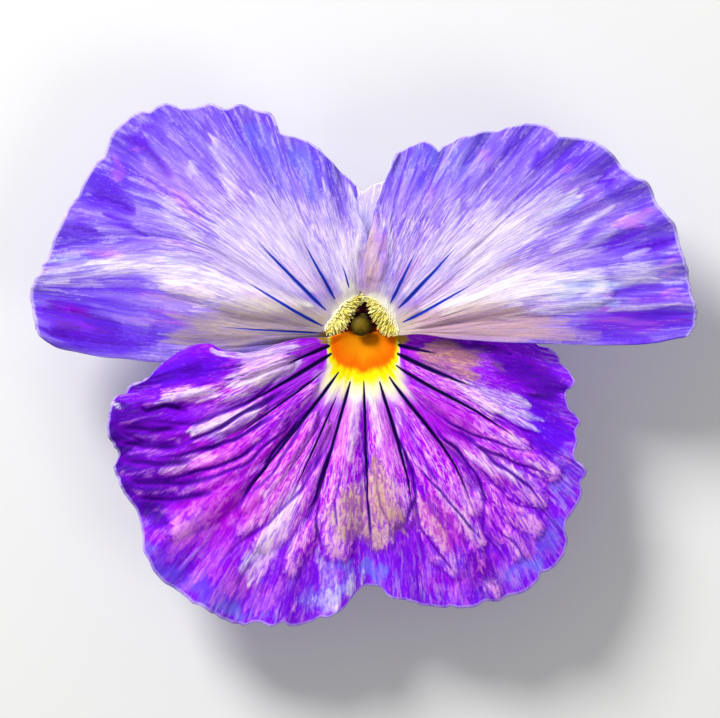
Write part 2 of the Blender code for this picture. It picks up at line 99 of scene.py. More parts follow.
deselect()

# %% [markdown]
# ## Curves to draw petals with
# A petal could be drawn as one outline, filled and bent. A fan of rays gives more control: each
# ray climbs the narrow claw, bends over the throat's lip, passes the middle of the limb and
# ends on the outline. These helpers draw smooth curves through points, and read them anywhere.

# %% Smooth curves
def hermite(knots, values, tangents, at):
    """Read the cubic through values with the given tangents at each place in at."""
    at = np.clip(np.asarray(at, float), knots[0], knots[-1])
    left = np.clip(np.searchsorted(knots, at, side="right") - 1, 0, len(knots) - 2)
    width = (knots[left + 1] - knots[left])[:, None]
    t = (at - knots[left])[:, None] / width
    return ((1 + 2 * t) * (1 - t) ** 2 * values[left] + t * (1 - t) ** 2 * width * tangents[left]
            + t * t * (3 - 2 * t) * values[left + 1] - t * t * (1 - t) * width * tangents[left + 1])


def through(points, knots, at):
    """A smooth curve through the points, which sit at knots along it."""
    points = np.asarray(points, float)
    knots = np.asarray(knots, float)
    slope = np.diff(points, axis=0) / np.diff(knots)[:, None]
    inner = (points[2:] - points[:-2]) / (knots[2:] - knots[:-2])[:, None]
    return hermite(knots, points, np.vstack([slope[:1], inner, slope[-1:]]), at)


def level(points, at):
    """A curve through points one unit apart that never swings past them."""
    points = np.asarray(points, float)
    slope = np.diff(points, axis=0)
    same_way = slope[:-1] * slope[1:] > 0
    total = np.where(same_way, slope[:-1] + slope[1:], 1)
    inner = np.where(same_way, 2 * slope[:-1] * slope[1:] / total, 0)
    knots = np.arange(len(points), dtype=float)
    return hermite(knots, points, np.vstack([slope[:1], inner, slope[-1:]]), at)


def lengths(points):
    """Distance along the points from the first one."""
    steps = np.linalg.norm(np.diff(np.asarray(points, float), axis=0), axis=1)
    return np.concatenate([[0], np.cumsum(steps)])


def along(points, shares):
    """A smooth curve through the points, read at shares of its length."""
    chord = lengths(points)
    dense = through(points, chord, np.linspace(0, chord[-1], 40 * len(points)))
    walked = lengths(dense)
    return np.stack([np.interp(np.asarray(shares) * walked[-1], walked, dense[:, k])
                     for k in range(dense.shape[1])], axis=1)


def nearest_share(points, target):
    """The share of the curve's length at its nearest place to the target."""
    shares = np.linspace(0, 1, 2001)
    return shares[np.argmin(np.linalg.norm(along(points, shares) - np.asarray(target), axis=1))]


def fade(distance):
    """1 at 0, falling smoothly to 0 at 1."""
    t = np.clip(distance, 0, 1)
    return (1 - t) ** 2 * (1 + 2 * t)


# %% [markdown]
# ## The five petals' outlines
# These are the part's own tables, in mm: the outline with its notches and teeth, the two free
# edges that run in to the throat, and the rays. The lower petal's rays follow its dark guide
# lines, so the lines can be painted along the rays later.

# %% Where the claws stand
AXIS = np.array([-0.1, 4.8])
CLAW_RADIUS = 1.8
CLAW_TOP_RADIUS = 1.95
CLAW_FOOT = 4.4
print("the claws start at", CLAW_FOOT, "mm")

# %% The lower petal's table
LOWER_PETAL = {
    "claw": (-122, -58),
    "claw_top": (-138, -42),
    "leave": (9.0, 8.2),
    "first_edge": [(-3.6, 2.8), (-6.4, 2.8), (-8.4, 2.3), (-10.2, 1.6), (-11.4, 1.3), (-12.9, 1.4),
        (-14.4, 1.7), (-15.3, 2.2), (-16.4, 2.2), (-17.4, 2.0), (-18.6, 1.4), (-20.1, 0.3)],
    "last_edge": [(3.8, 3.7), (7.0, 4.0), (11.0, 3.8), (13.6, 3.3), (16.4, 2.5), (17.3, 1.9), (18.6, 1.6)],
    "rim": [(-20.1, 0.3), (-20.9, -0.5), (-21.6, -1.3), (-22.6, -1.8), (-23.5, -2.2), (-24.1, -3.0),
        (-24.6, -2.9), (-25.2, -3.6), (-25.5, -4.9), (-25.7, -6.1), (-25.6, -7.1), (-25.1, -7.9),
        (-24.6, -8.8), (-24.9, -9.6), (-25.1, -10.4), (-24.7, -11.3), (-24.0, -12.7), (-23.1, -14.0),
        (-22.6, -15.3), (-22.2, -16.5), (-22.2, -18.4), (-21.7, -19.4), (-20.7, -21.0), (-20.1, -21.7),
        (-18.8, -22.4), (-17.4, -23.6), (-15.9, -24.3), (-14.2, -25.4), (-12.0, -26.0), (-10.9, -25.7),
        (-9.4, -26.1), (-8.1, -25.7), (-7.4, -26.1), (-5.2, -25.7), (-4.4, -25.2), (-3.6, -25.2),
        (-2.4, -24.6), (-1.4, -23.6), (-0.6, -22.6), (0.2, -22.1), (0.8, -22.0), (1.6, -22.1), (2.7, -23.2),
        (4.6, -23.6), (6.6, -24.2), (8.6, -24.2), (11.1, -24.2), (12.3, -23.6), (13.6, -23.6),
        (14.4, -23.1), (15.8, -22.9), (17.4, -21.5), (17.7, -20.7), (18.6, -20.5), (19.6, -19.7),
        (20.4, -17.8), (20.1, -16.7), (20.3, -15.5), (21.1, -14.4), (21.9, -12.7), (21.7, -11.6),
        (22.3, -10.7), (21.2, -9.5), (21.0, -8.8), (21.4, -7.6), (21.3, -6.6), (21.7, -5.6), (20.6, -4.3),
        (20.3, -2.8), (21.1, -1.7), (20.6, -0.6), (19.8, 0.2), (19.5, 0.9), (18.6, 1.6)],
    "rays": [
        ((-3.6, 2.8, 10.4), (-12.9, 1.4, 11.6), (-20.1, 0.3, 11.4)),
        ((-3.6, 2.4, 10.3), (-14.0, -0.7, 11.8), (-23.5, -2.2, 11.3)),
        ((-3.5, 2.0, 10.1), (-14.9, -2.7, 11.5), (-25.6, -7.1, 10.8)),
        ((-3.3, 1.2, 10.0), (-14.2, -5.1, 11.3), (-25.1, -10.4, 10.4)),
        ((-3.1, 0.2, 9.9), (-13.6, -7.5, 11.2), (-23.1, -14.0, 10.1)),
        ((-2.6, -0.7, 9.8), (-10.0, -10.4, 11.1), (-18.8, -22.4, 9.8)),
        ((-2.0, -1.3, 9.8), (-7.0, -12.6, 11.0), (-13.2, -25.7, 9.5)),
        ((-1.4, -1.7, 9.8), (-4.6, -13.4, 11.0), (-7.4, -26.1, 9.5)),
        ((0.0, -1.9, 9.8), (0.3, -11.4, 10.9), (0.8, -22.0, 9.6)),
        ((1.6, -1.7, 9.8), (4.5, -12.0, 10.9), (5.8, -24.0, 9.5)),
        ((2.6, -1.2, 9.8), (9.4, -10.6, 10.9), (13.6, -23.6, 9.5)),
        ((3.1, -0.7, 9.7), (11.6, -8.6, 10.8), (19.6, -19.7, 9.5)),
        ((3.3, 0.0, 9.6), (12.6, -5.4, 10.7), (21.8, -12.3, 9.7)),
        ((3.4, 1.2, 9.5), (12.4, -2.6, 10.6), (21.7, -5.6, 9.9)),
        ((3.5, 2.1, 9.3), (12.0, 0.4, 10.4), (21.1, -1.7, 10.1)),
        ((3.8, 3.7, 9.0), (11.2, 3.8, 10.0), (18.6, 1.6, 10.1))],
    "ruffles": (13, 0.45),
    "puff": 0.22,
}

# %% The left side petal's table
LEFT_SIDE_PETAL = {
    "claw": (228, 146),
    "leave": (7.2, 7.3),
    "first_edge": [(-3.8, 2.8), (-7.4, 2.1), (-10.4, 1.4), (-14.4, 0.7), (-17.4, 0.4), (-21.4, 0.4),
        (-23.9, 0.7), (-26.4, 0.9), (-28.9, 1.4), (-30.7, 1.8), (-31.9, 2.5)],
    "last_edge": [(-0.5, 7.1), (-0.1, 8.6), (0.2, 10.4), (0.4, 12.6), (0.0, 14.2), (-0.5, 15.3),
        (-0.6, 16.3), (-0.9, 18.2)],
    "rim": [(-31.9, 2.5), (-32.6, 3.2), (-33.0, 4.9), (-33.4, 6.9), (-33.2, 8.1), (-32.3, 9.7),
        (-31.9, 10.6), (-31.4, 11.9), (-30.6, 13.7), (-29.8, 15.4), (-29.3, 16.4), (-28.6, 17.0),
        (-28.0, 18.5), (-26.9, 20.2), (-26.1, 21.0), (-25.3, 22.9), (-24.4, 24.0), (-23.4, 24.9),
        (-22.4, 25.4), (-21.6, 25.5), (-20.9, 25.9), (-19.6, 26.2), (-18.2, 25.7), (-17.2, 25.8),
        (-15.6, 26.2), (-14.0, 25.7), (-12.6, 26.2), (-10.9, 25.7), (-9.5, 25.2), (-8.8, 23.7),
        (-8.3, 23.2), (-6.6, 22.9), (-5.6, 22.4), (-4.4, 21.6), (-2.4, 19.6), (-0.9, 18.2)],
    "rays": [
        ((-3.8, 2.8, 8.6), (-17.4, 0.4, 9.9), (-31.9, 2.5, 9.9)),
        ((-4.0, 3.3, 9.1), (-17.0, 4.2, 10.5), (-33.4, 6.9, 10.2)),
        ((-3.9, 3.9, 9.4), (-17.2, 10.6, 11.2), (-32.3, 9.7, 10.4)),
        ((-3.7, 4.5, 9.6), (-17.0, 13.2, 11.4), (-29.3, 16.4, 10.8)),
        ((-3.3, 5.1, 9.7), (-13.8, 15.4, 11.5), (-24.4, 24.0, 11.2)),
        ((-2.7, 5.8, 9.7), (-10.4, 17.0, 11.4), (-17.2, 25.8, 11.3)),
        ((-2.5, 6.0, 9.65), (-7.8, 15.7, 11.2), (-12.6, 26.2, 11.2)),
        ((-1.3, 6.95, 9.5), (-3.6, 14.6, 10.7), (-5.6, 22.4, 10.9)),
        ((-0.5, 7.1, 9.4), (0.4, 12.0, 10.1), (-0.9, 18.2, 10.2))],
    "ruffles": (9, 0.4),
    "puff": 0.0,
}

# %% The right side petal's table
RIGHT_SIDE_PETAL = {
    "claw": (34, -38),
    "leave": (9.2, 9.4),
    "first_edge": [(0.0, 7.1), (-0.4, 7.9), (-0.4, 9.1), (-0.3, 10.4), (0.0, 11.6), (0.4, 12.7),
        (0.8, 14.4), (1.0, 15.5), (1.4, 16.6), (1.9, 18.0), (2.5, 19.4)],
    "last_edge": [(3.7, 3.1), (5.2, 3.25), (6.8, 3.1), (8.6, 2.8), (11.1, 2.6), (13.6, 2.4), (18.6, 2.2),
        (23.6, 2.1), (28.6, 2.3), (31.1, 2.8), (32.4, 3.0)],
    "rim": [(2.5, 19.4), (3.2, 20.7), (3.7, 21.4), (4.6, 22.0), (5.5, 22.4), (6.1, 22.4), (7.2, 21.8),
        (7.6, 21.5), (8.0, 21.9), (9.1, 22.6), (9.8, 23.0), (10.6, 23.0), (11.6, 23.3), (13.6, 23.6),
        (15.1, 24.0), (17.0, 24.2), (18.6, 23.8), (19.5, 23.0), (20.1, 22.8), (22.1, 22.7), (23.2, 22.4),
        (24.7, 21.4), (26.1, 19.7), (27.4, 18.7), (28.2, 18.5), (28.6, 18.0), (29.5, 16.1), (30.7, 14.6),
        (31.1, 14.0), (31.7, 11.7), (32.4, 9.6), (32.7, 8.0), (33.1, 6.4), (33.3, 5.1), (33.1, 3.9),
        (32.4, 3.0)],
    "rays": [
        ((0.0, 7.1, 10.9), (0.4, 12.7, 11.4), (2.5, 19.4, 11.5)),
        ((1.5, 6.65, 10.55), (3.4, 14.2, 11.9), (6.1, 22.4, 11.7)),
        ((2.35, 5.75, 10.45), (7.3, 15.3, 12.1), (13.6, 23.6, 11.8)),
        ((2.85, 5.2, 10.35), (11.3, 14.1, 12.2), (19.5, 23.0, 11.8)),
        ((3.25, 4.65, 10.3), (14.0, 13.3, 12.2), (25.6, 20.5, 11.6)),
        ((3.5, 4.2, 10.3), (16.0, 10.8, 12.1), (30.0, 15.7, 11.3)),
        ((3.65, 3.8, 10.3), (17.4, 8.1, 12.0), (32.4, 9.6, 11.1)),
        ((3.7, 3.45, 10.4), (17.4, 5.1, 11.8), (33.3, 5.1, 11.0)),
        ((3.7, 3.1, 10.5), (17.0, 2.3, 11.6), (32.4, 3.0, 11.2))],
    "ruffles": (10, 0.4),
    "puff": 0.0,
}

# %% The back petals' tables
LEFT_UPPER_PETAL = {
    "claw": (134, 95),
    "leave": (5.8, 5.8),
    "first_edge": [(-2.3, 7.0), (-8.4, 6.8), (-14.5, 9.0)],
    "last_edge": [(-0.3, 8.0), (1.2, 12.0), (0.9, 17.6)],
    "rim": [(-14.5, 9.0), (-16.6, 13.4), (-16.0, 17.8), (-13.2, 20.8), (-9.0, 21.4), (-4.6, 19.8),
        (-2.2, 18.6), (-1.1, 18.2), (-0.4, 17.9), (0.9, 17.6)],
    "rays": [
        ((-2.3, 7.0, 6.5), (-8.4, 6.8, 3.8), (-14.5, 9.0, -0.6)),
        ((-2.0, 7.4, 6.5), (-9.0, 11.4, 3.9), (-16.0, 17.8, -0.8)),
        ((-1.5, 7.8, 6.5), (-6.0, 13.6, 4.0), (-9.0, 21.4, -0.6)),
        ((-0.9, 8.0, 6.5), (-2.2, 13.6, 3.9), (-2.2, 18.6, 1.0)),
        ((-0.3, 8.0, 6.4), (1.0, 12.0, 4.3), (0.9, 17.6, 1.5))],
    "ruffles": (5, 0.0),
    "puff": 0.0,
}
RIGHT_UPPER_PETAL = {
    "claw": (85, 46),
    "leave": (6.9, 5.9),
    "first_edge": [(0.1, 8.0), (-0.5, 12.0), (0.1, 17.8)],
    "last_edge": [(2.1, 7.0), (8.5, 6.6), (14.8, 8.8)],
    "rim": [(0.1, 17.8), (0.6, 18.1), (1.1, 18.5), (2.0, 18.7), (2.7, 19.4), (4.6, 20.4), (8.8, 20.8),
        (13.2, 20.6), (16.4, 18.0), (17.2, 13.6), (14.8, 8.8)],
    "rays": [
        ((0.1, 8.0, 7.6), (-0.6, 12.0, 5.7), (0.1, 17.8, 2.9)),
        ((0.8, 8.0, 7.3), (2.0, 13.4, 5.1), (2.7, 19.4, 2.0)),
        ((1.4, 7.8, 6.9), (6.4, 13.6, 4.3), (8.8, 20.8, -0.6)),
        ((1.9, 7.4, 6.6), (9.4, 11.4, 3.9), (16.4, 18.0, -0.8)),
        ((2.1, 7.0, 6.5), (8.6, 6.6, 3.8), (14.8, 8.8, -0.6))],
    "ruffles": (5, 0.0),
    "puff": 0.0,
}
FACE_PETALS = (LOWER_PETAL, LEFT_SIDE_PETAL, RIGHT_SIDE_PETAL)
BACK_PETALS = (LEFT_UPPER_PETAL, RIGHT_UPPER_PETAL)
print("rays:", [len(petal["rays"]) for petal in FACE_PETALS + BACK_PETALS])

# %% [markdown]
# ## A petal's surface
# The surface is read from the rays at any place among them and at any row along them: row 0 is
# the claw's foot, 1 its top, 2 the throat's lip, 3 the middle of the limb and 4 the rim. The
# free edges pull the outermost rays to the drawn outline. Waves ruffle the rim.

# %% Read a petal's surface
LIP_ROW, MIDDLE_ROW, RIM_ROW = 2, 3, 4


def claw_ring(petal, key, radius, places):
    """Places on a ring round the flower's axis, between the two angles that the petal names."""
    angle = np.radians(np.interp(places, (0, len(petal["rays"]) - 1), petal.get(key, petal["claw"])))
    return AXIS + radius * np.stack([np.cos(angle), np.sin(angle)], axis=1)


def petal_grid(petal, rows, places):
    """The petal's face in mm, one column for each place, with the share of the rim at each."""
    rays = np.array(petal["rays"], float)
    last = len(rays) - 1
    throat, middle = level(rays[:, 0], places), level(rays[:, 1], places)
    ends = [nearest_share(petal["rim"], ray[2][:2]) for ray in petal["rays"]]
    rim_share = level(np.array(ends)[:, None], places)[:, 0]
    rim = np.hstack([along(petal["rim"], rim_share), level(rays[:, 2, 2:], places)])
    foot = np.column_stack([claw_ring(petal, "claw", CLAW_RADIUS, places), np.full(len(places), CLAW_FOOT)])
    top = np.column_stack([claw_ring(petal, "claw_top", CLAW_TOP_RADIUS, places),
                           np.interp(places, (0, last), petal["leave"])])

    rows = np.asarray(rows, float)
    grid = np.zeros((len(places), len(rows), 3))
    for column, place in enumerate(places):
        knots = np.array([line[column] for line in (foot, top, throat, middle, rim)])
        chord = lengths(knots)
        reach = np.interp(rows, range(len(knots)), chord)
        grid[column] = through(knots, chord, reach)
        limb = np.clip((reach - chord[LIP_ROW]) / (chord[RIM_ROW] - chord[LIP_ROW]), 0, 1)
        for edge, ray, off in (("first_edge", rays[0], place), ("last_edge", rays[-1], last - place)):
            if off < 1:
                pull = along(petal[edge], limb) - along(ray[:, :2], limb)
                grid[column, :, :2] += fade(off) * pull * (rows >= LIP_ROW)[:, None]
    count, swing = petal["ruffles"]
    outer = np.clip(rows - MIDDLE_ROW, 0, 1)[None, :] ** 2
    grid[:, :, 2] += swing * outer * np.sin(2 * np.pi * count * rim_share)[:, None]
    limb_middle = np.sin(np.pi * np.clip((rows - LIP_ROW) / 2, 0, 1))[None, :]
    grid[:, :, 2] += petal["puff"] * limb_middle * (np.sin(np.pi * places) ** 2)[:, None]
    return grid, rim_share


# %% [markdown]
# ## Relief and markings as strokes
# A real petal is quilted: soft lobes swell between sunken veins, and the limb falls in pleats.
# The relief could be painted as a bump, but then it would be missing from the side, so the mesh
# itself moves. Lobes are rows of circles that a dome covers, creases are lines that sink. The
# colours of a petal are patchy: each pigment has its own soft strokes, kept as a value at each
# point of the mesh. The material later breaks the strokes up into streaks and flecks.
# Some strokes paint light instead of colour: shadows, shade in creases and corners, and highlights on ridges.

# %% Lines drawn on the plan
STROKE_REACH = 2.1
FAR = 1e9
# The olive shade and ice highlight strokes are painted shade and painted highlights.
PIGMENTS = ("sky", "deep", "magenta", "rose", "night", "tan", "cream", "pink", "ice", "white", "dark",
            "olive")


def near_line(flat, points, margin):
    """The places within the margin (mm) of the line's box, their distance and share along it."""
    low, high = points.min(axis=0) - margin, points.max(axis=0) + margin
    inside = np.flatnonzero(np.all((flat >= low) & (flat <= high), axis=1))
    near = flat[inside]
    best, share = np.full(len(near), FAR), np.zeros(len(near))
    chord = lengths(points)
    for k in range(len(points) - 1):
        run = points[k + 1] - points[k]
        t = np.clip((near - points[k]) @ run / (run @ run), 0, 1)
        gap = np.linalg.norm(near - points[k] - t[:, None] * run, axis=1)
        closer = gap < best
        best = np.where(closer, gap, best)
        share = np.where(closer, (chord[k] + t * (chord[k + 1] - chord[k])) / chord[-1], share)
    return inside, best, share


def pigment_values(flat, strokes):
    """How much of each pigment lies at each place; a stroke is (half width, strength, x, y, ...)."""
    values = {pigment: np.zeros(len(flat)) for pigment in PIGMENTS}
    for pigment, rows in strokes.items():
        value = values[pigment]
        for width, strength, *numbers in rows:
            reach = STROKE_REACH * width / PER_MM
            inside, gap, share = near_line(flat, plan(np.array(numbers, float).reshape(-1, 2)), reach)
            taper = 0.25 + 0.75 * np.sqrt(np.sin(np.pi * np.clip(share, 0, 1)))
            value[inside] = 1 - (1 - value[inside]) * (1 - strength * fade(gap / (reach * taper)))
    return values


# %% Lobes and creases
LOBE_SWELL = 1.3
LOBE_RISE = 1.45
OUTLINE_REACH = 0.27
CREASE_REACH = 1.9


def lobe_rise(flat, lobes):
    """Height in mm of the domes over lobes (height, x, y, radius, x, y, radius, ...), how far up its
    dome and how near its lobe's tip each place is, and the painted shade of the seams round and
    between the lobes."""
    rise, crown, tip = np.zeros((3, len(flat)))
    nearest, second = np.full((2, len(flat)), 9.0)
    for height, *numbers in lobes:
        knots = np.array(numbers, float).reshape(-1, 3)
        points, radii = plan(knots[:, :2]), LOBE_SWELL * knots[:, 2] / PER_MM
        inside, gap, share = near_line(flat, points, radii.max() + 1)
        chord = lengths(points)
        radius = np.interp(share, chord / chord[-1], radii)
        dome = np.clip(1 - (gap / radius) ** 2, 0, 1)
        taper = 1 - 0.45 * np.clip((share - 0.4) / 0.6, 0, 1) ** 1.5
        rise[inside] = np.maximum(rise[inside], LOBE_RISE * height * taper * dome)
        crown[inside] = np.maximum(crown[inside], dome)
        tip[inside] = np.maximum(tip[inside], dome ** 0.5 * np.clip((share - 0.35) / 0.5, 0, 1))
        beyond = gap - radius
        second[inside] = np.minimum(second[inside], np.maximum(nearest[inside], beyond))
        nearest[inside] = np.minimum(nearest[inside], beyond)
    outline = fade(np.abs(nearest) / OUTLINE_REACH)
    between = fade((second - nearest) / OUTLINE_REACH) * (nearest < 0)
    return rise, crown, tip, np.maximum(0.55 * outline, between)


def crease_values(flat, creases):
    """How deep the creases are and how dark, from (half width, depth, darkness, x, y, ...); the dark
    is partly painted shade in the creases and partly the petal's dark lines.
    """
    sink, dark = np.zeros((2, len(flat)))
    for width, depth, darkness, *numbers in creases:
        reach = CREASE_REACH * width / PER_MM
        inside, gap, share = near_line(flat, plan(np.array(numbers, float).reshape(-1, 2)), reach)
        ends = np.clip(4 * share + 0.3, 0, 1) * np.clip(5 * (1 - share), 0, 1) ** 0.5
        strength = np.clip(1.4 * fade(gap / reach), 0, 1) * ends
        sink[inside] = np.maximum(sink[inside], depth * strength)
        dark[inside] = np.maximum(dark[inside], darkness * strength)
    return sink, dark


def streaks(seed, across, lengthwise, across_scale, length_scale):
    """Soft noise between -1 and 1 that runs in streaks along the rays."""
    draw = np.random.default_rng(seed)
    size = (int(across.max() * across_scale) + 3, int(lengthwise.max() * length_scale) + 3)
    lattice = draw.uniform(-1, 1, size)
    x, y = across * across_scale, lengthwise * length_scale
    i, j = x.astype(int), y.astype(int)
    a, b = x - i, y - j
    a, b = a * a * (3 - 2 * a), b * b * (3 - 2 * b)
    return ((lattice[i, j] * (1 - a) + lattice[i + 1, j] * a) * (1 - b)
            + (lattice[i, j + 1] * (1 - a) + lattice[i + 1, j + 1] * a) * b)


# %% [markdown]
# ## From a grid to a petal
# The petal starts as a flat grid primitive. Its points move to the surface, with more of them
# where the limb is wide. A Solidify modifier gives the sheet its thickness, with the second
# material on the back. Each point keeps what the material needs: its place and row as the UV
# map, the width between rays in mm, and the pigments.

# %% Sheets from grids
def grid_piece(name, columns, rows):
    """A flat grid, with the share of the way across it and up it at each point."""
    deselect()
    bpy.ops.mesh.primitive_grid_add(x_subdivisions=columns, y_subdivisions=rows, size=1)
    piece = bpy.context.object
    piece.name = piece.data.name = name
    flat = np.zeros(3 * len(piece.data.vertices))
    piece.data.vertices.foreach_get("co", flat)
    across, up = flat.reshape(-1, 3)[:, :2].T + 0.5
    return piece, across, up


def move_points(mesh, points):
    """Move the mesh's points to these places, in mm."""
    mesh.vertices.foreach_set("co", (points * MM).astype(np.float32).ravel())
    mesh.update()


def set_values(mesh, name, values):
    """Keep a value at each point under this name, for the material to read."""
    mesh.attributes.new(name, "FLOAT", "POINT").data.foreach_set("value", np.asarray(values, np.float32))


def thicken(piece, thickness, back_slot=0, guide=-1):
    """Turn a sheet over if its guide face looks down, smooth it and thicken it by this many mm."""
    only(piece)
    if piece.data.polygons[guide].normal.z < 0:
        bpy.ops.object.mode_set(mode="EDIT")
        bpy.ops.mesh.select_all(action="SELECT")
        bpy.ops.mesh.flip_normals()
        bpy.ops.object.mode_set(mode="OBJECT")
    bpy.ops.object.shade_smooth()
    bpy.ops.object.modifier_add(type="SOLIDIFY")
    wall = piece.modifiers[-1]
    wall.thickness = thickness * MM
    wall.offset = -1
    wall.material_offset = back_slot
    bpy.ops.object.modifier_apply(modifier=wall.name)
    return piece


# %% A petal's relief
PIGMENT_RISE = {"white": 0.13, "pink": 0.05, "tan": 0.04, "cream": 0.08, "deep": -0.08, "night": -0.1,
                "dark": -0.08}
RAGGED = 0.9
ASIDE = 0.25
VEIN_RISE = 0.04
RIM_RISE = 0.12
RIM_WOBBLE = 0.1


def petal_relief(flat, place, at_row, marks, thin, pleats, seed):
    """The height in mm and the values at each point; thin is how narrow ragged edges are."""
    away = flat - AXIS
    away /= np.linalg.norm(away, axis=1)[:, None]
    outward = np.clip((np.linalg.norm(flat - AXIS, axis=1) - 3) / 8, 0.15, 1)
    ragged = outward * (streaks(seed + 4, place, at_row, thin, 2.5)
                        + 0.6 * streaks(seed + 5, place, at_row, thin / 2.5, 1.5))
    ragged = ragged[:, None] * away
    aside = ASIDE * streaks(seed + 6, place, at_row, 2, 6)[:, None] * away[:, ::-1] * (1, -1)
    values = pigment_values(flat + RAGGED * ragged + aside, marks.get("strokes", {}))
    groove, shade = crease_values(flat + aside, marks.get("creases", ()))
    # The creases' painted shade joins the dark pigment.
    values["dark"] = np.maximum(values["dark"], shade)
    rise, crown, tip, seam_shade = lobe_rise(flat + 0.4 * RAGGED * ragged + aside, marks.get("lobes", ()))
    rise -= groove
    for pigment, amount in PIGMENT_RISE.items():
        rise += amount * values[pigment]
    rise += (VEIN_RISE * streaks(seed, place, at_row, 9, 3)
             + pleats * streaks(seed + 1, place, at_row, 3.5, 2.5))
    rim_near = np.clip(at_row - 3.6, 0, 0.4) / 0.4
    rise += RIM_RISE * rim_near * streaks(seed + 2, place, at_row, 6, 1)
    teeth = streaks(seed + 3, place, np.zeros_like(place), 10, 1) * RIM_WOBBLE * rim_near ** 2
    values |= {"crown": crown, "tip": tip, "seam_shade": seam_shade * np.clip((at_row - 2.15) / 0.25, 0, 1)}
    return rise * np.clip(3 * np.clip(at_row - LIP_ROW, 0, 1), 0, 1), teeth[:, None] * away, values


# %% Build a petal
THICKNESS = 0.28
ROW_SHARES = (0, 0.05, 0.17, 0.6, 1)


def even_places(petal, count):
    """Places spread so that the columns are about equally far apart at the rim and half way."""
    last = len(petal["rays"]) - 1
    dense = np.linspace(0, last, 40 * last + 1)
    grid, _ = petal_grid(petal, [MIDDLE_ROW, RIM_ROW], dense)
    step = np.linalg.norm(np.diff(grid, axis=0), axis=2).sum(axis=1)
    walked = np.concatenate([[0], np.cumsum(step + 0.25 * step.mean())])
    return np.interp(np.linspace(0, walked[-1], count), walked, dense)


def make_petal(name, petal, columns, rows, finishes, marks, sink=0.0, pleats=0.06, seed=1):
    """A petal with its relief, its pigments and its two finishes; sink lowers it by so many mm."""
    piece, across, up = grid_piece(name, columns, rows)
    mesh = piece.data
    column, row = np.rint(across * columns).astype(int), np.rint(up * rows).astype(int)
    places = even_places(petal, columns + 1)
    row_at = np.interp(np.linspace(0, 1, rows + 1), ROW_SHARES, range(len(ROW_SHARES)))
    grid, _ = petal_grid(petal, row_at, places)
    spread = np.linalg.norm(np.gradient(grid[:, :, :2], axis=0), axis=2) / np.gradient(places)[:, None]

    points, place, at_row = grid[column, row], places[column], row_at[row]
    thin = columns / (len(petal["rays"]) - 1) / 3
    rise, teeth, values = petal_relief(points[:, :2].copy(), place, at_row, marks, thin, pleats, seed)
    points[:, 2] += rise
    points[:, :2] += teeth
    points[:, 2] = np.maximum(points[:, 2] - sink, THICKNESS)
    move_points(mesh, points)

    corner = np.zeros(len(mesh.loops), int)
    mesh.loops.foreach_get("vertex_index", corner)
    uv = np.stack([place[corner], at_row[corner]], axis=1)
    mesh.uv_layers[0].data.foreach_set("uv", uv.astype(np.float32).ravel())
    values["spread"] = spread[column, row]
    for key, value in petal["lines"].items():
        values[key] = value(place, at_row, points)
    for key, value in values.items():
        set_values(mesh, key, value)
    for finish in finishes:
        mesh.materials.append(finish)
    return thicken(piece, THICKNESS, back_slot=1)

# %% [markdown]
# ## Nodes in few words
# A material is a tree of nodes. Written out link by link it is long to read, so one helper adds
# a node, sets its options, and fills each input with a number or with another node's output.

# %% Node helpers
def add(tree, kind, options=None, **inputs):
    """Add a node; an input is given by its name with _ for a space, or as i0, i1 ... by number."""
    made = tree.nodes.new("ShaderNode" + kind)
    for option, value in (options or {}).items():
        setattr(made, option, value)
    for key, value in inputs.items():
        numbered = key[0] == "i" and key[1:].isdigit()
        socket = made.inputs[int(key[1:]) if numbered else key.replace("_", " ")]
        if isinstance(value, bpy.types.NodeSocket):
            tree.links.new(value, socket)
        else:
            socket.default_value = value
    return made


def math_of(tree, operation, *values, clamp=False):
    inputs = {f"i{k}": value for k, value in enumerate(values)}
    return add(tree, "Math", {"operation": operation, "use_clamp": clamp}, **inputs).outputs[0]


def times(tree, first, *others):
    """The product of outputs and numbers."""
    for other in others:
        first = math_of(tree, "MULTIPLY", first, other)
    return first


def scaled(tree, value, factor, plus):
    return math_of(tree, "MULTIPLY_ADD", value, factor, plus)


def shaken(tree, value, source, amount):
    """The value with so much of a noise added, so that what is drawn from it has a rough edge."""
    return scaled(tree, math_of(tree, "SUBTRACT", source, 0.5), amount, value)


def blend(tree, first, second, share):
    """Two noises added up, with this share of the second."""
    return math_of(tree, "ADD", times(tree, first, 1 - share), times(tree, second, share))


def ramp(tree, value, low, high, to_low=0.0, to_high=1.0):
    """Map low..high smoothly to to_low..to_high."""
    return add(tree, "MapRange", {"interpolation_type": "SMOOTHSTEP"}, Value=value, From_Min=low,
               From_Max=high, To_Min=to_low, To_Max=to_high).outputs[0]


def mix(tree, share, first, second):
    """Mix two colours; a colour is an output or a linear (red, green, blue)."""
    first, second = (c if isinstance(c, bpy.types.NodeSocket) else (*c, 1) for c in (first, second))
    return add(tree, "Mix", {"data_type": "RGBA"}, i0=share, i6=first, i7=second).outputs[2]


# %% Places, values and noises in a material
def value_of(tree, name):
    """A value that the mesh keeps at its points."""
    return add(tree, "Attribute", {"attribute_name": name}).outputs["Fac"]


def object_place(tree):
    return add(tree, "TexCoord").outputs["Object"]


def place_and_row(tree):
    """The two numbers of the UV map: the place among the rays and the row along them."""
    uv = add(tree, "UVMap", {"uv_map": "UVMap"}).outputs[0]
    return add(tree, "SeparateXYZ", None, Vector=uv).outputs[:2]


def noise(tree, vector, scale, detail=3.0, roughness=0.6, distortion=0.0):
    return add(tree, "TexNoise", None, Vector=vector, Scale=scale, Detail=detail, Roughness=roughness,
               Distortion=distortion).outputs["Fac"]


def streaky(tree, place, row, across, lengthwise, shift, *kind):
    """Noise in streaks along the rays; kind is its detail, roughness and distortion."""
    where = add(tree, "CombineXYZ", None, X=scaled(tree, place, across, shift),
                Y=times(tree, row, lengthwise), Z=shift).outputs[0]
    return noise(tree, where, 1.0, *kind)


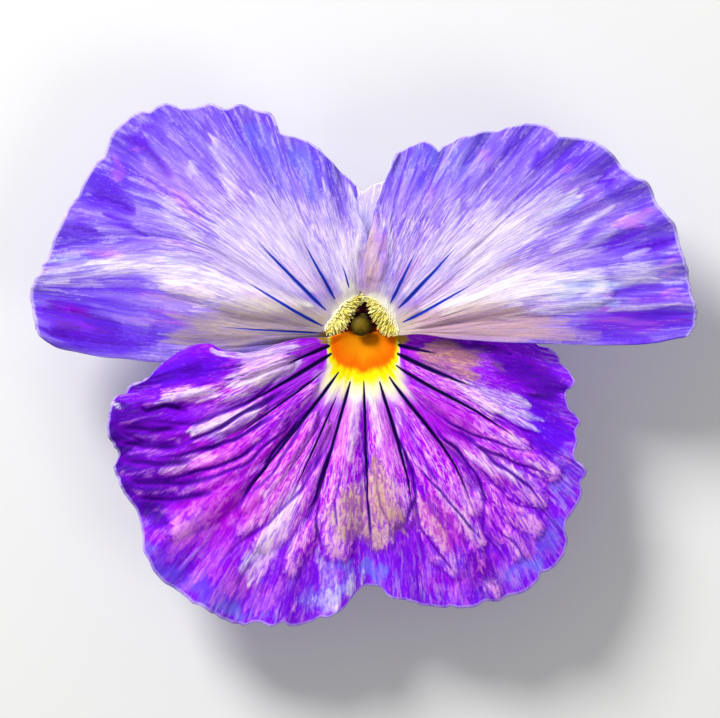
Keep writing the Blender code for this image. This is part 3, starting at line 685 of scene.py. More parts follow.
def new_material(name, roughness, specular=0.15):
    """A Principled material; gives the material, its tree and the shader node."""
    made = bpy.data.materials.new(name)
    made.use_nodes = True
    shader = made.node_tree.nodes["Principled BSDF"]
    shader.inputs["Roughness"].default_value = roughness
    shader.inputs["Specular IOR Level"].default_value = specular
    return made, made.node_tree, shader


def dress(tree, shader, colour, height=None, depth=0.05):
    """Give the shader its colour, and a bump so many mm deep."""
    tree.links.new(colour, shader.inputs["Base Color"])
    if height is not None:
        bump = add(tree, "Bump", None, Height=height, Distance=depth * MM, Strength=1.0)
        tree.links.new(bump.outputs[0], shader.inputs["Normal"])


# %% [markdown]
# ## The petals' finish
# A pansy's colour lies in its cells: a ground of blue-violet, with patches where pigment is
# thin, and narrow dark guide lines from the throat. Painting it on an image would work but an
# image isn't sharp at every size. Here nodes do it: each pigment's soft strokes are broken up by
# noise that is stretched along the rays, and a guide line is drawn where the place among the
# rays is a whole number, as wide in mm as the mesh says.
# Some layers are painted light: shade between lobes and in seams and creases, and pale highlights.

# %% The pigments
INK = linear(10, 2, 46)
THREAD = linear(252, 228, 250)
PALE_BAND = linear(196, 168, 252)
# Painted light: olive and seam shade and valley are painted shade, fold and dark in part; ice and tip are
# painted highlights.
PALETTE = {
    "sky": linear(112, 110, 244),
    "deep": linear(96, 10, 232),
    "magenta": linear(176, 2, 212),
    "rose": linear(204, 50, 208),
    "night": linear(66, 0, 146),
    "cream": linear(236, 226, 208),
    "pink": linear(228, 126, 244),
    "ice": linear(168, 206, 252),
    "white": linear(252, 242, 252),
    "dark": linear(44, 0, 112),
    "fold": linear(112, 0, 196),
    "olive": linear(190, 146, 8),
    "seam_shade": linear(66, 0, 130),
    "tip": linear(250, 198, 248),
    "valley": linear(118, 0, 230),
    "net": linear(146, 84, 122),
}
print("colours:", len(PALETTE))

# %% [markdown]
# A petal's look is a dictionary. Its colours are the `ground`, the `rim_ground`, the `rim_line`,
# the faded `tan` and the `ink` of the lines, and `throat` paints the root. `flecks` gives the pale
# flecks' colour, their share on and off the lobes (more on them is a painted highlight), how narrow
# and how short they are, how broken and how wavy. `stripes` gives a colour, a share, how narrow,
# and the two ends of a ramp. `spread` is how broken the strokes are, `valley` how much painted
# violet shade lies between lobes and how speckled the tan is, `seam_shade_share` how dark the
# painted shade at their edges is, and `core` how black a line is. `bands`, `net` and `rim_streaks`
# are the shares of broad pale bands, of fine white threads and of pale streaks at the rim.

# %% What every layer of the painting reads
# How narrow and how short the streaks are, then the shift, detail, roughness and distortion.
STREAKS = {"broad": (4.0, 1.5, 0.0, 4.0, 0.65), "fine": (17.0, 4.0, 7.0, 4.0, 0.7),
           "threads": (26.0, 6.0, 19.0, 2.0, 0.5, 0.9), "bands": (5.5, 0.9, 23.0, 2.0, 0.55, 0.3),
           "back": (9.0, 2.0, 0.0, 4.0, 0.65)}


def petal_fields(tree, look):
    """Places, pigments and noises, kept by name for the layers to share."""
    spot = object_place(tree)
    place, row = place_and_row(tree)
    place = math_of(tree, "ADD", place, scaled(tree, noise(tree, spot, 500.0, 2.0), 0.06, -0.03))
    value = {name: value_of(tree, name) for name in (*PIGMENTS, "crown", "tip", "seam_shade")}
    fine = streaky(tree, place, row, *STREAKS["fine"])
    veins = blend(tree, fine, noise(tree, spot, 2600.0, 3.0, 0.7, 0.8), 0.35)
    across, lengthwise, broken, wavy = look["flecks"][3:]
    patches = streaky(tree, place, row, across, lengthwise, 3.0, 3.0, 0.6, wavy)
    patches = blend(tree, patches, veins, broken)
    bold = scaled(tree, value["deep"], 0.6, value["night"])
    return SimpleNamespace(
        place=place, row=row, value=value, fine=fine, veins=veins, patches=patches, bold=bold,
        broad=streaky(tree, place, row, *STREAKS["broad"]),
        threads=streaky(tree, place, row, *STREAKS["threads"]),
        plain=ramp(tree, bold, 0.0, 0.5, 1.0, 0.15),
        rarer=ramp(tree, value["magenta"], 0.15, 0.8, 1.0, 0.2),
        # lift is higher on the lobes' crowns, so more pale flecks fall there: a painted highlight.
        lift=scaled(tree, bold, -0.1, scaled(tree, value["crown"], 0.05, patches)))


def on_crown(tree, at, off, on):
    """One share off the lobes and another on them."""
    return ramp(tree, at.value["crown"], 0.0, 0.4, off, on)


def lay(tree, at, colour, pigment, paint, source, spread, most, gaps=1.0, full=1.0):
    """Paint a pigment whose edge the source breaks up; gaps is what is left between its threads."""
    edge = shaken(tree, at.value[pigment], source, spread)
    laid = times(tree, ramp(tree, edge, 0.1, full, 0.0, most), ramp(tree, at.value[pigment], 0.0, 0.5),
                 ramp(tree, at.threads, 0.4, 0.58, gaps, 1.0))
    return mix(tree, laid, colour, paint)


# %% Ground, stripes and bands
def paint_ground(tree, at, look):
    rimward = shaken(tree, at.row, at.broad, 1.2)
    colour = mix(tree, ramp(tree, rimward, 3.0, 3.95), look["ground"], look["rim_ground"])
    colour = mix(tree, ramp(tree, at.broad, 0.45, 0.75, 0.0, 0.3), colour, PALETTE["deep"])
    # Painted shade: a darker violet between the lobes.
    between = times(tree, ramp(tree, at.value["crown"], 0.0, 0.3, look["valley"], 0.0),
                    ramp(tree, at.row, 2.5, 3.0))
    colour = mix(tree, between, colour, PALETTE["valley"])
    for pigment in ("sky", "deep", "magenta", "rose", "night"):
        colour = lay(tree, at, colour, pigment, PALETTE[pigment], at.veins, 1.8, 0.95)
    paint, share, across, low, high = look["stripes"]
    stripe = streaky(tree, at.place, at.row, across, 0.2 * across, 11.0, 3.0, 0.6, 0.3)
    colour = mix(tree, ramp(tree, stripe, low, high, 0.0, share), colour, paint)
    band = streaky(tree, at.place, at.row, *STREAKS["bands"])
    banded = times(tree, ramp(tree, band, 0.46, 0.66, 0.0, look["bands"]), at.plain)
    return mix(tree, banded, colour, PALE_BAND)


# %% Flecks, pale crowns and tips that are painted highlights, and the streaked rim
def paint_flecks(tree, at, look, colour):
    paint, share, off_lobes = look["flecks"][:3]
    # More pale flecks on the lobes' crowns: a painted highlight.
    flecked = times(tree, ramp(tree, at.lift, 0.48, 0.6), on_crown(tree, at, off_lobes, share),
                    ramp(tree, at.value["magenta"], 0.15, 0.8, 1.0, 0.55))
    colour = mix(tree, flecked, colour, paint)
    # Pale crowns of the lobes: a painted highlight.
    pale = times(tree, ramp(tree, at.lift, 0.57, 0.68), on_crown(tree, at, 0.0, 0.6), at.rarer)
    colour = mix(tree, pale, colour, PALETTE["tip"])
    streaked = times(tree, ramp(tree, at.fine, 0.48, 0.62),
                     ramp(tree, at.row, 3.3, 3.8, 0.0, look["rim_streaks"]), at.plain,
                     ramp(tree, at.broad, 0.36, 0.6, 1.0, 0.25))
    colour = mix(tree, streaked, colour, look["rim_line"])
    # Pale tips of the lobes: a painted highlight.
    tip = ramp(tree, shaken(tree, at.value["tip"], at.patches, 2.4), 0.45, 1.3, 0.0, 0.7)
    tip = times(tree, tip, ramp(tree, at.value["tip"], 0.0, 0.3),
                ramp(tree, at.threads, 0.4, 0.58, 0.25, 1.0), at.rarer)
    return mix(tree, tip, colour, PALETTE["tip"])


# %% Faded patches and painted ice highlights
FADED = {"tan": (1.0, 0.85), "cream": (0.95, 0.7), "pink": (0.9, 0.5), "ice": (0.9, 0.7),
         "white": (1.0, 0.6)}
TAN_SPECKS = {"cream": (0.6, 0.5, 0.62, 0.0, 1.0), "net": (1.0, 0.4, 0.49, 1.0, 0.0)}


def paint_faded(tree, at, look, colour):
    """The pale pigments, some white strokes among them painted highlights, and the painted ice
    highlights, each at most so strong and so much of it between threads; tan is netted.
    """
    source = blend(tree, at.patches, at.fine, 0.4)
    for pigment, (most, gaps) in FADED.items():
        paint = (PALETTE | {"tan": look["tan"]})[pigment]
        colour = lay(tree, at, colour, pigment, paint, source, look["spread"], most, gaps, 1.3)
        if pigment == "tan":
            for speck, (share, *ends) in TAN_SPECKS.items():
                speckled = times(tree, ramp(tree, at.lift, *ends),
                                 ramp(tree, at.value["tan"], 0.1, 0.6, 0.0, share * look["valley"]))
                colour = mix(tree, speckled, colour, PALETTE[speck])
    return colour


# %% Painted shade at the seams and in the creases, and white threads
def paint_threads(tree, at, look, colour):
    off_lobes_share = look["flecks"][2] / look["flecks"][1]
    # Painted shade round the lobes' outlines and where they meet.
    seam_shade_share = look["seam_shade_share"]
    seam_shade = times(tree, at.value["seam_shade"], ramp(tree, at.broad, 0.3, 0.7, 0.45 * seam_shade_share, 0.95 * seam_shade_share))
    colour = mix(tree, seam_shade, colour, PALETTE["seam_shade"])
    # White threads, more of them on the lobes' crowns, where they are a painted highlight.
    woven = times(tree, ramp(tree, at.threads, 0.53, 0.61, 0.0, look["net"]),
                  ramp(tree, at.row, 2.05, 2.25), ramp(tree, at.row, 2.9, 3.5, 1.0, 0.0),
                  ramp(tree, at.value["tan"], 0.05, 0.5, 1.0, 0.2),
                  on_crown(tree, at, off_lobes_share, 1.0), at.plain, at.rarer)
    colour = mix(tree, woven, colour, THREAD)
    # The dark value, which holds the creases' painted shade, gives a purple halo and a dark core.
    folded = shaken(tree, at.value["dark"], at.veins, 0.5)
    colour = mix(tree, ramp(tree, folded, 0.06, 0.5, 0.0, 0.8), colour, PALETTE["fold"])
    return mix(tree, ramp(tree, folded, 0.4, 0.85, 0.0, 0.92), colour, PALETTE["dark"])


# %% Draw the guide lines
def draw_lines(tree, at, look, colour):
    """Draw the guide lines; gives the colour, and the lines' own share for the bump."""
    off = math_of(tree, "SUBTRACT", at.place, math_of(tree, "ROUND", at.place))
    off = times(tree, math_of(tree, "ABSOLUTE", off), value_of(tree, "spread"))
    run = math_of(tree, "DIVIDE", math_of(tree, "SUBTRACT", at.row, value_of(tree, "line_start")),
                  value_of(tree, "line_length"), clamp=True)
    width = value_of(tree, "line_width")
    half = times(tree, width, times(tree, ramp(tree, run, 0.0, 0.16, 0.35, 1.0),
                                    ramp(tree, run, 0.3, 1.0, 1.0, 0.3)))
    reach = math_of(tree, "DIVIDE", off, math_of(tree, "MAXIMUM", half, 0.001))
    ends = times(tree, ramp(tree, run, 0.0, 0.03), ramp(tree, run, 0.72, 1.0, 1.0, 0.0),
                 ramp(tree, width, 0.0, 0.06))
    inked = times(tree, ramp(tree, reach, 0.6, 1.35, 1.0, 0.0), ends)
    colour = mix(tree, inked, colour, look["ink"])
    black = times(tree, ramp(tree, reach, 0.2, 0.9, look["core"], 0.0),
                  ramp(tree, run, 0.1, 0.8, 1.0, 0.3), ends)
    return mix(tree, black, colour, INK), inked


# %% The whole face, and the back
def petal_material(name, look):
    """The finish of a petal's face, layer on layer."""
    made, tree, shader = new_material(name, 0.7, specular=0.05)
    at = petal_fields(tree, look)
    colour = paint_ground(tree, at, look)
    for layer in (paint_flecks, paint_faded, paint_threads):
        colour = layer(tree, at, look, colour)
    colour = look["throat"](tree, at, colour)
    # Painted shade: olive round the stigma's foot and in the corners by the throat.
    colour = mix(tree, ramp(tree, at.value["olive"], 0.05, 0.8, 0.0, 0.95), colour, PALETTE["olive"])
    colour, inked = draw_lines(tree, at, look, colour)
    edge = times(tree, ramp(tree, at.row, 3.972, 3.99), ramp(tree, at.broad, 0.35, 0.6, 0.3, 0.85))
    colour = mix(tree, edge, colour, look["rim_line"])
    height = math_of(tree, "SUBTRACT", math_of(tree, "ADD", at.veins, at.patches), times(tree, inked, 0.5))
    dress(tree, shader, colour, height, 0.11)
    return made


def back_material(name, pale, tint):
    """The matt back of a petal: paler, with the veins standing out."""
    made, tree, shader = new_material(name, 0.7, specular=0.12)
    place, row = place_and_row(tree)
    fine = streaky(tree, place, row, *STREAKS["back"])
    colour = mix(tree, ramp(tree, fine, 0.35, 0.65), pale, tint)
    colour = mix(tree, ramp(tree, row, 2.6, 3.9, 0.0, 0.6), colour, tint)
    colour = mix(tree, ramp(tree, row, 1.2, 2.3, 0.85, 0.0), colour, linear(206, 214, 150))
    off = math_of(tree, "SUBTRACT", place, math_of(tree, "ROUND", place))
    off = times(tree, math_of(tree, "ABSOLUTE", off), value_of(tree, "spread"))
    vein = times(tree, ramp(tree, off, 0.05, 0.25, 1.0, 0.0), ramp(tree, row, 3.0, 3.8, 0.7, 0.0))
    colour = mix(tree, vein, colour, tuple(0.45 * v for v in tint))
    grain = noise(tree, object_place(tree), 2500.0, 2.0)
    dress(tree, shader, colour, math_of(tree, "ADD", times(tree, vein, 0.8), times(tree, grain, 0.4)), 0.06)
    return made

# %% [markdown]
# ## Guide lines and the throat
# Bees follow the guide lines in to the nectar, so they are darkest and widest near the throat
# and fade out on the limb. Each line has a half width in mm and the rows where it starts and
# ends. The lower petal's throat is painted by how far a place is from the throat's middle, in
# shares of an oval, with the yellow drawn back at the lines.

# %% Which rays carry a line
NO_LINE = (0.0, 2.0, 2.5)


def line_values(guides):
    """Functions that give a point's line width, start and length from its nearest ray."""
    def read(which, place):
        nearest = np.rint(place).astype(int)
        return np.array([guides.get(k, NO_LINE)[which] for k in range(nearest.max() + 1)])[nearest]
    return {"line_width": lambda place, at_row, points: read(0, place),
            "line_start": lambda place, at_row, points: read(1, place),
            "line_length": lambda place, at_row, points: read(2, place) - read(1, place)}


LOWER_PETAL["lines"] = line_values({
    2: (0.2, 1.95, 2.42), 3: (0.25, 1.95, 2.85), 4: (0.13, 2.1, 3.05), 5: (0.2, 1.95, 3.4),
    6: (0.12, 2.15, 3.1), 7: (0.18, 1.95, 3.15), 8: (0.15, 1.9, 3.7), 9: (0.19, 1.95, 3.35),
    10: (0.2, 1.95, 3.4), 12: (0.21, 1.95, 3.45), 13: (0.27, 1.95, 2.95), 14: (0.2, 1.95, 2.5)})
LEFT_SIDE_PETAL["lines"] = line_values({1: (0.1, 2.0, 2.85), 2: (0.18, 2.01, 2.68), 4: (0.2, 2.04, 2.78),
                                        6: (0.21, 2.07, 2.72), 7: (0.09, 2.12, 2.45)})
RIGHT_SIDE_PETAL["lines"] = line_values({2: (0.16, 2.05, 2.64), 3: (0.2, 2.06, 2.8), 5: (0.16, 2.02, 2.64)})
for back_petal in BACK_PETALS:
    back_petal["lines"] = line_values({})

# %% The orange throat
THROAT_MIDDLE = plan((363.5, 341))
THROAT_REACH = (3.3, 2.7, 1.6)
SHIELD = 2.8


def throat_value(place, at_row, points):
    """1 on the edge of the orange, a shield that is as wide as the throat and ends in a point; it
    grows outwards, faster at the sides, and more where a line runs."""
    across, below, above = THROAT_REACH
    off = points[:, :2] - THROAT_MIDDLE
    wide, tall = np.abs(off[:, 0]) / across, np.where(off[:, 1] < 0, -off[:, 1] / below, off[:, 1] / above)
    far = (wide ** SHIELD + tall ** SHIELD) ** (1 / SHIELD)
    sideways = wide / np.maximum(wide + tall, 0.01)
    outside = np.maximum(far - 1, 0) * (1 + 14 * np.clip(sideways - 0.42, 0, 1))
    outside += 1.2 * np.clip((sideways - 0.5) / 0.2, 0, 1) * np.clip((outside - 0.6) / 0.25, 0, 1)
    point = 0.2 * np.exp(-(off[:, 0] / 0.35) ** 2) * (off[:, 1] < 0)
    scallops = 0.1 * np.cos(2 * np.pi * place) * np.clip(outside * 4, 0, 1)
    return np.minimum(far, 1) + outside - point + scallops


LOWER_PETAL["lines"]["throat"] = throat_value

# %% [markdown]
# ## Markings of each petal
# Each stroke has its half width, how strong it is, and the places that it runs through, all on
# the plan, and is listed under its pigment. Their places were chosen patch by patch, from a
# photograph of the flower.
# The olive shade and ice highlight strokes, and some white and night ones, are painted light.

# %% Markings of the left side petal
LEFT_LOBES = [(0.35, 318, 320, 5, 290, 313, 10, 245, 302, 13, 200, 291, 10, 170, 286, 6)]
LEFT_STROKES = {
    "sky": [(26, 0.6, 310, 200, 240, 130), (24, 0.65, 294, 146, 330, 190), (14, 0.5, 250, 120, 262, 160),
        (14, 0.43, 80, 200, 100, 170), (13, 0.45, 138, 196, 200, 228)],
    "deep": [(9, 0.65, 98, 192, 137, 211), (7, 0.58, 120, 137, 147, 147, 160, 165, 172, 179),
        (7, 0.58, 71, 228, 98, 231), (7, 0.65, 109, 213, 137, 232), (10, 0.65, 50, 303, 88, 316),
        (8, 0.65, 50, 337, 137, 347), (8, 0.72, 97, 325, 116, 326), (6, 0.5, 102, 281, 144, 291),
        (18, 0.75, 52, 322, 155, 342), (12, 0.6, 150, 326, 215, 336),
        (16, 0.5, 56, 240, 106, 185, 150, 130), (5, 0.43, 150, 120, 165, 145),
        (5, 0.43, 200, 115, 207, 140), (5, 0.43, 60, 262, 110, 268), (10, 0.5, 34, 314, 96, 322),
        (10, 0.42, 96, 300, 168, 308), (15, 0.6, 30, 312, 104, 330), (9, 0.38, 80, 188, 136, 208)],
    "magenta": [(8, 0.3, 50, 322, 110, 336), (9, 0.4, 120, 318, 200, 322), (6, 0.3, 44, 300, 90, 314),
        (5, 0.29, 133, 292, 207, 299), (5, 0.32, 150, 309, 190, 318), (10, 0.42, 34, 306, 96, 322),
        (8, 0.24, 132, 296, 206, 306)],
    "night": [(9, 0.5, 105, 339, 175, 346), (10, 0.45, 45, 328, 125, 343), (6, 0.6, 84, 322, 122, 327),
        (10, 0.5, 42, 306, 72, 334), (5, 0.5, 70, 312, 120, 324), (5, 0.5, 98, 192, 137, 211),
        (4, 0.5, 60, 226, 98, 232), (5, 0.45, 122, 138, 147, 152, 168, 176), (4, 0.45, 108, 213, 138, 232),
        (4, 0.45, 202, 116, 209, 142), (4, 0.4, 158, 118, 168, 152), (8, 0.4, 50, 335, 110, 345),
        (6, 0.45, 44, 306, 92, 322)],
    "tan": [(8, 0.6, 326, 320, 288, 304), (14, 0.9, 322, 322, 262, 322, 195, 324),
        (10, 0.7, 310, 334, 230, 338, 165, 341), (16, 0.5, 315, 320, 240, 325, 165, 335),
        (12, 0.7, 262, 300, 312, 322), (4, 0.8, 322, 322, 327, 314), (6, 0.43, 150, 294, 207, 299),
        (6, 0.58, 170, 314, 207, 323, 245, 330), (14, 0.58, 175, 336, 245, 340),
        (19, 0.8, 225, 306, 315, 324)],
    "cream": [(14, 0.8, 300, 306, 262, 300, 205, 290, 160, 284), (9, 0.7, 358, 236, 358, 305),
        (9, 0.6, 357, 245, 357, 310)],
    "pink": [(9, 0.4, 326, 296, 285, 262), (18, 0.35, 235, 215, 252, 150), (14, 0.35, 305, 228, 285, 160),
        (26, 0.4, 215, 215, 140, 165), (14, 0.5, 325, 290, 280, 270), (9, 0.58, 134, 148, 136, 152),
        (8, 0.58, 112, 155, 118, 181), (6, 0.58, 81, 250, 123, 257), (6, 0.43, 165, 235, 215, 262),
        (7, 0.36, 176, 196, 205, 226), (6, 0.5, 240, 288, 300, 305), (8, 0.35, 346, 235, 350, 292)],
    # The ice highlight strokes along the ridge and its upper band are painted highlights.
    "ice": [(9, 0.5, 160, 260, 232, 284), (8, 0.45, 40, 262, 105, 262)],
    # The first white stroke here is a painted highlight along the ridge.
    "white": [(4, 0.8, 312, 308, 290, 300, 257, 288, 208, 275, 150, 268),
        (10, 0.55, 30, 277, 80, 270, 130, 267), (12, 0.55, 322, 186, 335, 230, 346, 292),
        (16, 0.3, 195, 196, 260, 240, 305, 278), (7, 0.85, 350, 192, 360, 226, 365, 256),
        (26, 0.52, 318, 284, 270, 245, 225, 232), (22, 0.3, 290, 250, 150, 212),
        (18, 0.6, 310, 290, 220, 268, 110, 262), (24, 0.5, 325, 275, 290, 200),
        (12, 0.45, 338, 235, 342, 288), (9, 0.6, 349, 230, 353, 296),
        (5, 0.95, 333, 315, 344, 304, 356, 295), (5, 0.58, 148, 193, 186, 214),
        (5, 0.58, 191, 160, 200, 185), (6, 0.58, 212, 137, 235, 202), (9, 0.65, 257, 199, 268, 223),
        (8, 0.65, 289, 223, 289, 238), (8, 0.36, 235, 245, 290, 275),
        # The first stroke here is a painted highlight along the ridge's upper edge.
        (6, 0.72, 85, 264, 130, 266, 193, 278, 245, 287), (4, 0.58, 46, 281, 71, 281),
        (4, 0.5, 160, 210, 205, 245), (5, 0.43, 225, 150, 245, 190), (6, 0.43, 268, 180, 285, 215),
        (4, 0.43, 345, 250, 348, 285), (14, 0.32, 232, 196, 296, 232)],
    # Painted shade in the corner by the throat.
    "olive": [(4, 0.7, 320, 332, 326, 335)],
}
print("left strokes:", sum(map(len, LEFT_STROKES.values())))

# %% Markings of the right side petal
RIGHT_LOBES = [
    (0.25, 375, 222, 5, 381, 245, 8, 376, 275, 6),
    (0.35, 420, 322, 5, 450, 312, 9, 500, 302, 13, 550, 298, 13, 605, 295, 8)]
# This crease follows the rolled inner margin; its dark is a faint painted shade.
RIGHT_CREASES = [(1.5, 0.1, 0.2, 379, 206, 391, 221, 396, 238, 396, 256, 391, 274)]
RIGHT_STROKES = {
    # The first sky stroke tints the painted highlight near (580, 285).
    "sky": [(12, 0.6, 550, 290, 622, 284), (24, 0.5, 420, 150, 500, 140), (22, 0.72, 420, 152, 440, 180),
        (14, 0.5, 455, 150, 470, 190), (6, 0.5, 570, 306, 603, 303), (12, 0.43, 600, 200, 620, 195),
        (14, 0.45, 388, 176, 436, 160)],
    "deep": [(18, 0.6, 585, 330, 690, 322), (14, 0.5, 480, 140, 600, 165, 665, 230),
        (12, 0.5, 560, 230, 680, 262), (8, 0.58, 533, 155, 537, 168), (8, 0.43, 455, 215, 470, 180),
        (6, 0.65, 596, 182, 610, 185), (5, 0.58, 580, 240, 603, 226, 625, 216),
        (5, 0.65, 603, 251, 628, 236, 643, 226), (6, 0.65, 637, 246, 668, 240),
        (5, 0.58, 649, 265, 668, 257), (4, 0.58, 610, 294, 637, 288, 668, 283),
        (4, 0.65, 640, 301, 672, 295), (6, 0.65, 616, 316, 646, 315, 683, 314),
        (5, 0.58, 573, 331, 616, 337, 646, 338), (5, 0.25, 378, 212, 384, 262)],
    "magenta": [(9, 0.4, 585, 318, 670, 325), (12, 0.3, 570, 320, 660, 325), (8, 0.32, 402, 180, 405, 220),
        (4, 0.58, 482, 145, 481, 153), (4, 0.5, 497, 158, 496, 165), (5, 0.36, 419, 221, 421, 245),
        (5, 0.58, 593, 300, 608, 303, 607, 314), (8, 0.5, 668, 319, 689, 321),
        (9, 0.22, 510, 318, 610, 326), (8, 0.26, 371, 208, 377, 270)],
    "rose": [(11, 0.2, 402, 306, 440, 275, 466, 250)],
    "night": [(5, 0.45, 590, 178, 616, 192), (4, 0.4, 534, 155, 541, 174), (4, 0.45, 580, 246, 632, 230),
        (4, 0.5, 632, 248, 672, 240), (4, 0.45, 600, 296, 668, 285), (5, 0.5, 610, 322, 684, 314)],
    "tan": [(8, 0.6, 396, 322, 450, 306), (12, 0.9, 396, 331, 460, 331, 540, 334),
        (8, 0.5, 500, 331, 598, 335), (15, 0.9, 400, 319, 470, 318, 545, 318),
        (16, 0.8, 400, 325, 520, 322), (4, 0.8, 400, 322, 403, 329),
        (6, 0.58, 467, 288, 497, 272, 520, 260), (13, 0.72, 440, 322, 490, 311, 522, 315),
        (7, 0.65, 415, 327, 470, 329, 540, 329), (8, 0.58, 379, 230, 383, 252),
        (8, 0.43, 372, 262, 380, 285), (11, 0.85, 369, 235, 369, 312), (5, 0.5, 371, 215, 373, 260),
        (6, 0.65, 530, 324, 568, 320), (6, 0.65, 528, 335, 570, 337)],
    "cream": [(12, 0.8, 440, 310, 480, 301, 530, 292, 575, 292)],
    "pink": [(10, 0.5, 396, 312, 440, 288, 474, 268), (10, 0.45, 630, 300, 694, 299),
        (16, 0.4, 396, 290, 408, 262, 415, 240), (16, 0.4, 560, 180, 640, 230),
        (6, 0.43, 430, 159, 430, 206), (4, 0.5, 488, 147, 484, 170), (6, 0.58, 400, 282, 420, 260),
        (5, 0.5, 420, 305, 454, 280), (7, 0.5, 375, 222, 383, 240, 383, 264),
        (5, 0.65, 616, 226, 637, 222, 656, 208), (4, 0.65, 657, 266, 677, 254),
        (4, 0.65, 665, 274, 683, 268), (4, 0.5, 560, 175, 575, 160), (3, 0.65, 660, 292, 680, 289),
        (4, 0.58, 606, 321, 655, 323)],
    # The ice highlight strokes are painted highlights on the ridges.
    "ice": [(10, 0.6, 530, 288, 575, 300, 620, 305), (6, 0.5, 540, 217, 580, 204),
        (8, 0.75, 552, 281, 616, 285)],
    # The first two white strokes here are painted highlights along the ridge.
    "white": [(4, 0.75, 425, 311, 445, 302, 473, 290, 530, 278, 590, 277), (10, 0.6, 465, 293, 565, 283),
        (16, 0.45, 495, 240, 570, 198), (11, 0.4, 630, 264, 694, 262), (12, 0.35, 470, 205, 502, 165),
        # Painted highlight along the rolled margin's fold.
        (4, 0.6, 373, 202, 381, 214, 388, 227, 392, 243, 391, 256),
        (27, 0.66, 410, 290, 460, 250, 508, 226), (24, 0.42, 450, 255, 570, 196),
        # The first stroke here is a painted highlight along the ridge.
        (17, 0.7, 425, 307, 500, 282, 560, 277), (14, 0.45, 520, 280, 660, 272),
        (5, 0.95, 370, 295, 381, 302, 390, 312, 394, 320), (14, 0.35, 560, 240, 640, 200),
        (6, 0.58, 445, 237, 460, 198), (6, 0.58, 478, 221, 502, 198), (7, 0.65, 466, 260, 511, 218),
        (8, 0.65, 463, 275, 527, 221), (6, 0.58, 454, 287, 505, 254, 539, 227),
        (6, 0.43, 425, 262, 446, 230), (5, 0.72, 467, 302, 497, 285, 540, 275),
        (3, 0.58, 502, 320, 540, 309), (8, 0.4, 370, 205, 372, 270),
        (12, 0.4, 385, 292, 402, 250, 412, 225), (5, 0.36, 570, 203, 576, 201),
        (4, 0.65, 545, 254, 576, 232, 596, 217, 607, 208), (4, 0.5, 550, 263, 584, 248, 616, 229),
        # The loop round (580, 285) is a painted highlight.
        (4, 0.58, 622, 257, 646, 248), (5, 0.72, 561, 281, 591, 275, 605, 280, 594, 291, 580, 298),
        (4, 0.65, 610, 286, 637, 280, 660, 277), (6, 0.65, 535, 311, 568, 307, 603, 304),
        (4, 0.58, 610, 312, 646, 307, 677, 304), (9, 0.4, 612, 270, 696, 280)],
    "dark": [(4, 0.22, 398, 336, 440, 338, 500, 339)],
}
print("right strokes:", sum(map(len, RIGHT_STROKES.values())))

# %% [markdown]
# The lower petal is quilted the most: its lobes swell between the lines and end in rounded tips
# two thirds of the way out, with thin dark creases along one side, their dark partly painted shade.
# A lobe's row of circles gives places and radii, so that one entry makes a whole swelling. A crease
# has its half width, its depth in mm and how dark it is.

# %% Lobes and creases of the lower petal
LOWER_LOBES = [
    (0.5, 372, 398, 5, 380, 432, 10, 389, 470, 15, 396, 505, 17, 398, 512, 14),
    (0.4, 372, 480, 7, 376, 515, 11, 382, 538, 10),
    (0.45, 357, 396, 5, 348, 430, 10, 341, 470, 17, 337, 515, 20, 336, 540, 16),
    (0.5, 400, 405, 4, 428, 443, 9, 456, 479, 12, 474, 505, 11),
    (0.45, 404, 450, 3, 428, 482, 7, 454, 510, 10, 480, 540, 9),
    (0.4, 418, 496, 5, 430, 528, 10, 444, 555, 12, 455, 570, 8),
    (0.5, 412, 389, 4, 452, 415, 9, 480, 429, 11, 508, 440, 10, 524, 447, 7),
    (0.45, 480, 447, 5, 510, 455, 9, 536, 463, 11, 552, 471, 8),
    (0.5, 444, 435, 4, 480, 463, 10, 516, 479, 13, 534, 493, 12, 543, 504, 7),
    (0.4, 476, 475, 4, 492, 495, 9, 520, 515, 11, 536, 531, 8),
    (0.35, 486, 511, 6, 500, 527, 9, 520, 551, 9), (0.3, 472, 551, 7, 480, 571, 8, 494, 591, 7),
    (0.3, 412, 366, 6, 440, 384, 12, 470, 400, 13, 492, 410, 8),
    (0.5, 316, 416, 4, 288, 457, 11, 266, 485, 13, 247, 504, 9),
    (0.4, 327, 422, 4, 308, 455, 7, 284, 490, 10, 255, 514, 10, 242, 528, 7),
    (0.45, 327, 457, 4, 308, 490, 9, 288, 518, 14, 264, 540, 10),
    (0.4, 318, 520, 6, 303, 545, 11, 292, 565, 9),
    (0.45, 314, 388, 4, 288, 408, 9, 260, 433, 11, 227, 453, 10, 196, 467, 7),
    (0.4, 288, 416, 4, 264, 449, 9, 231, 473, 11, 203, 485, 9, 184, 494, 6),
    (0.4, 260, 465, 4, 231, 490, 10, 203, 512, 12, 174, 532, 8),
    (0.35, 250, 372, 8, 285, 362, 7, 232, 392, 9, 170, 395, 8),
    (0.35, 262, 406, 6, 228, 420, 9, 196, 430, 7)]
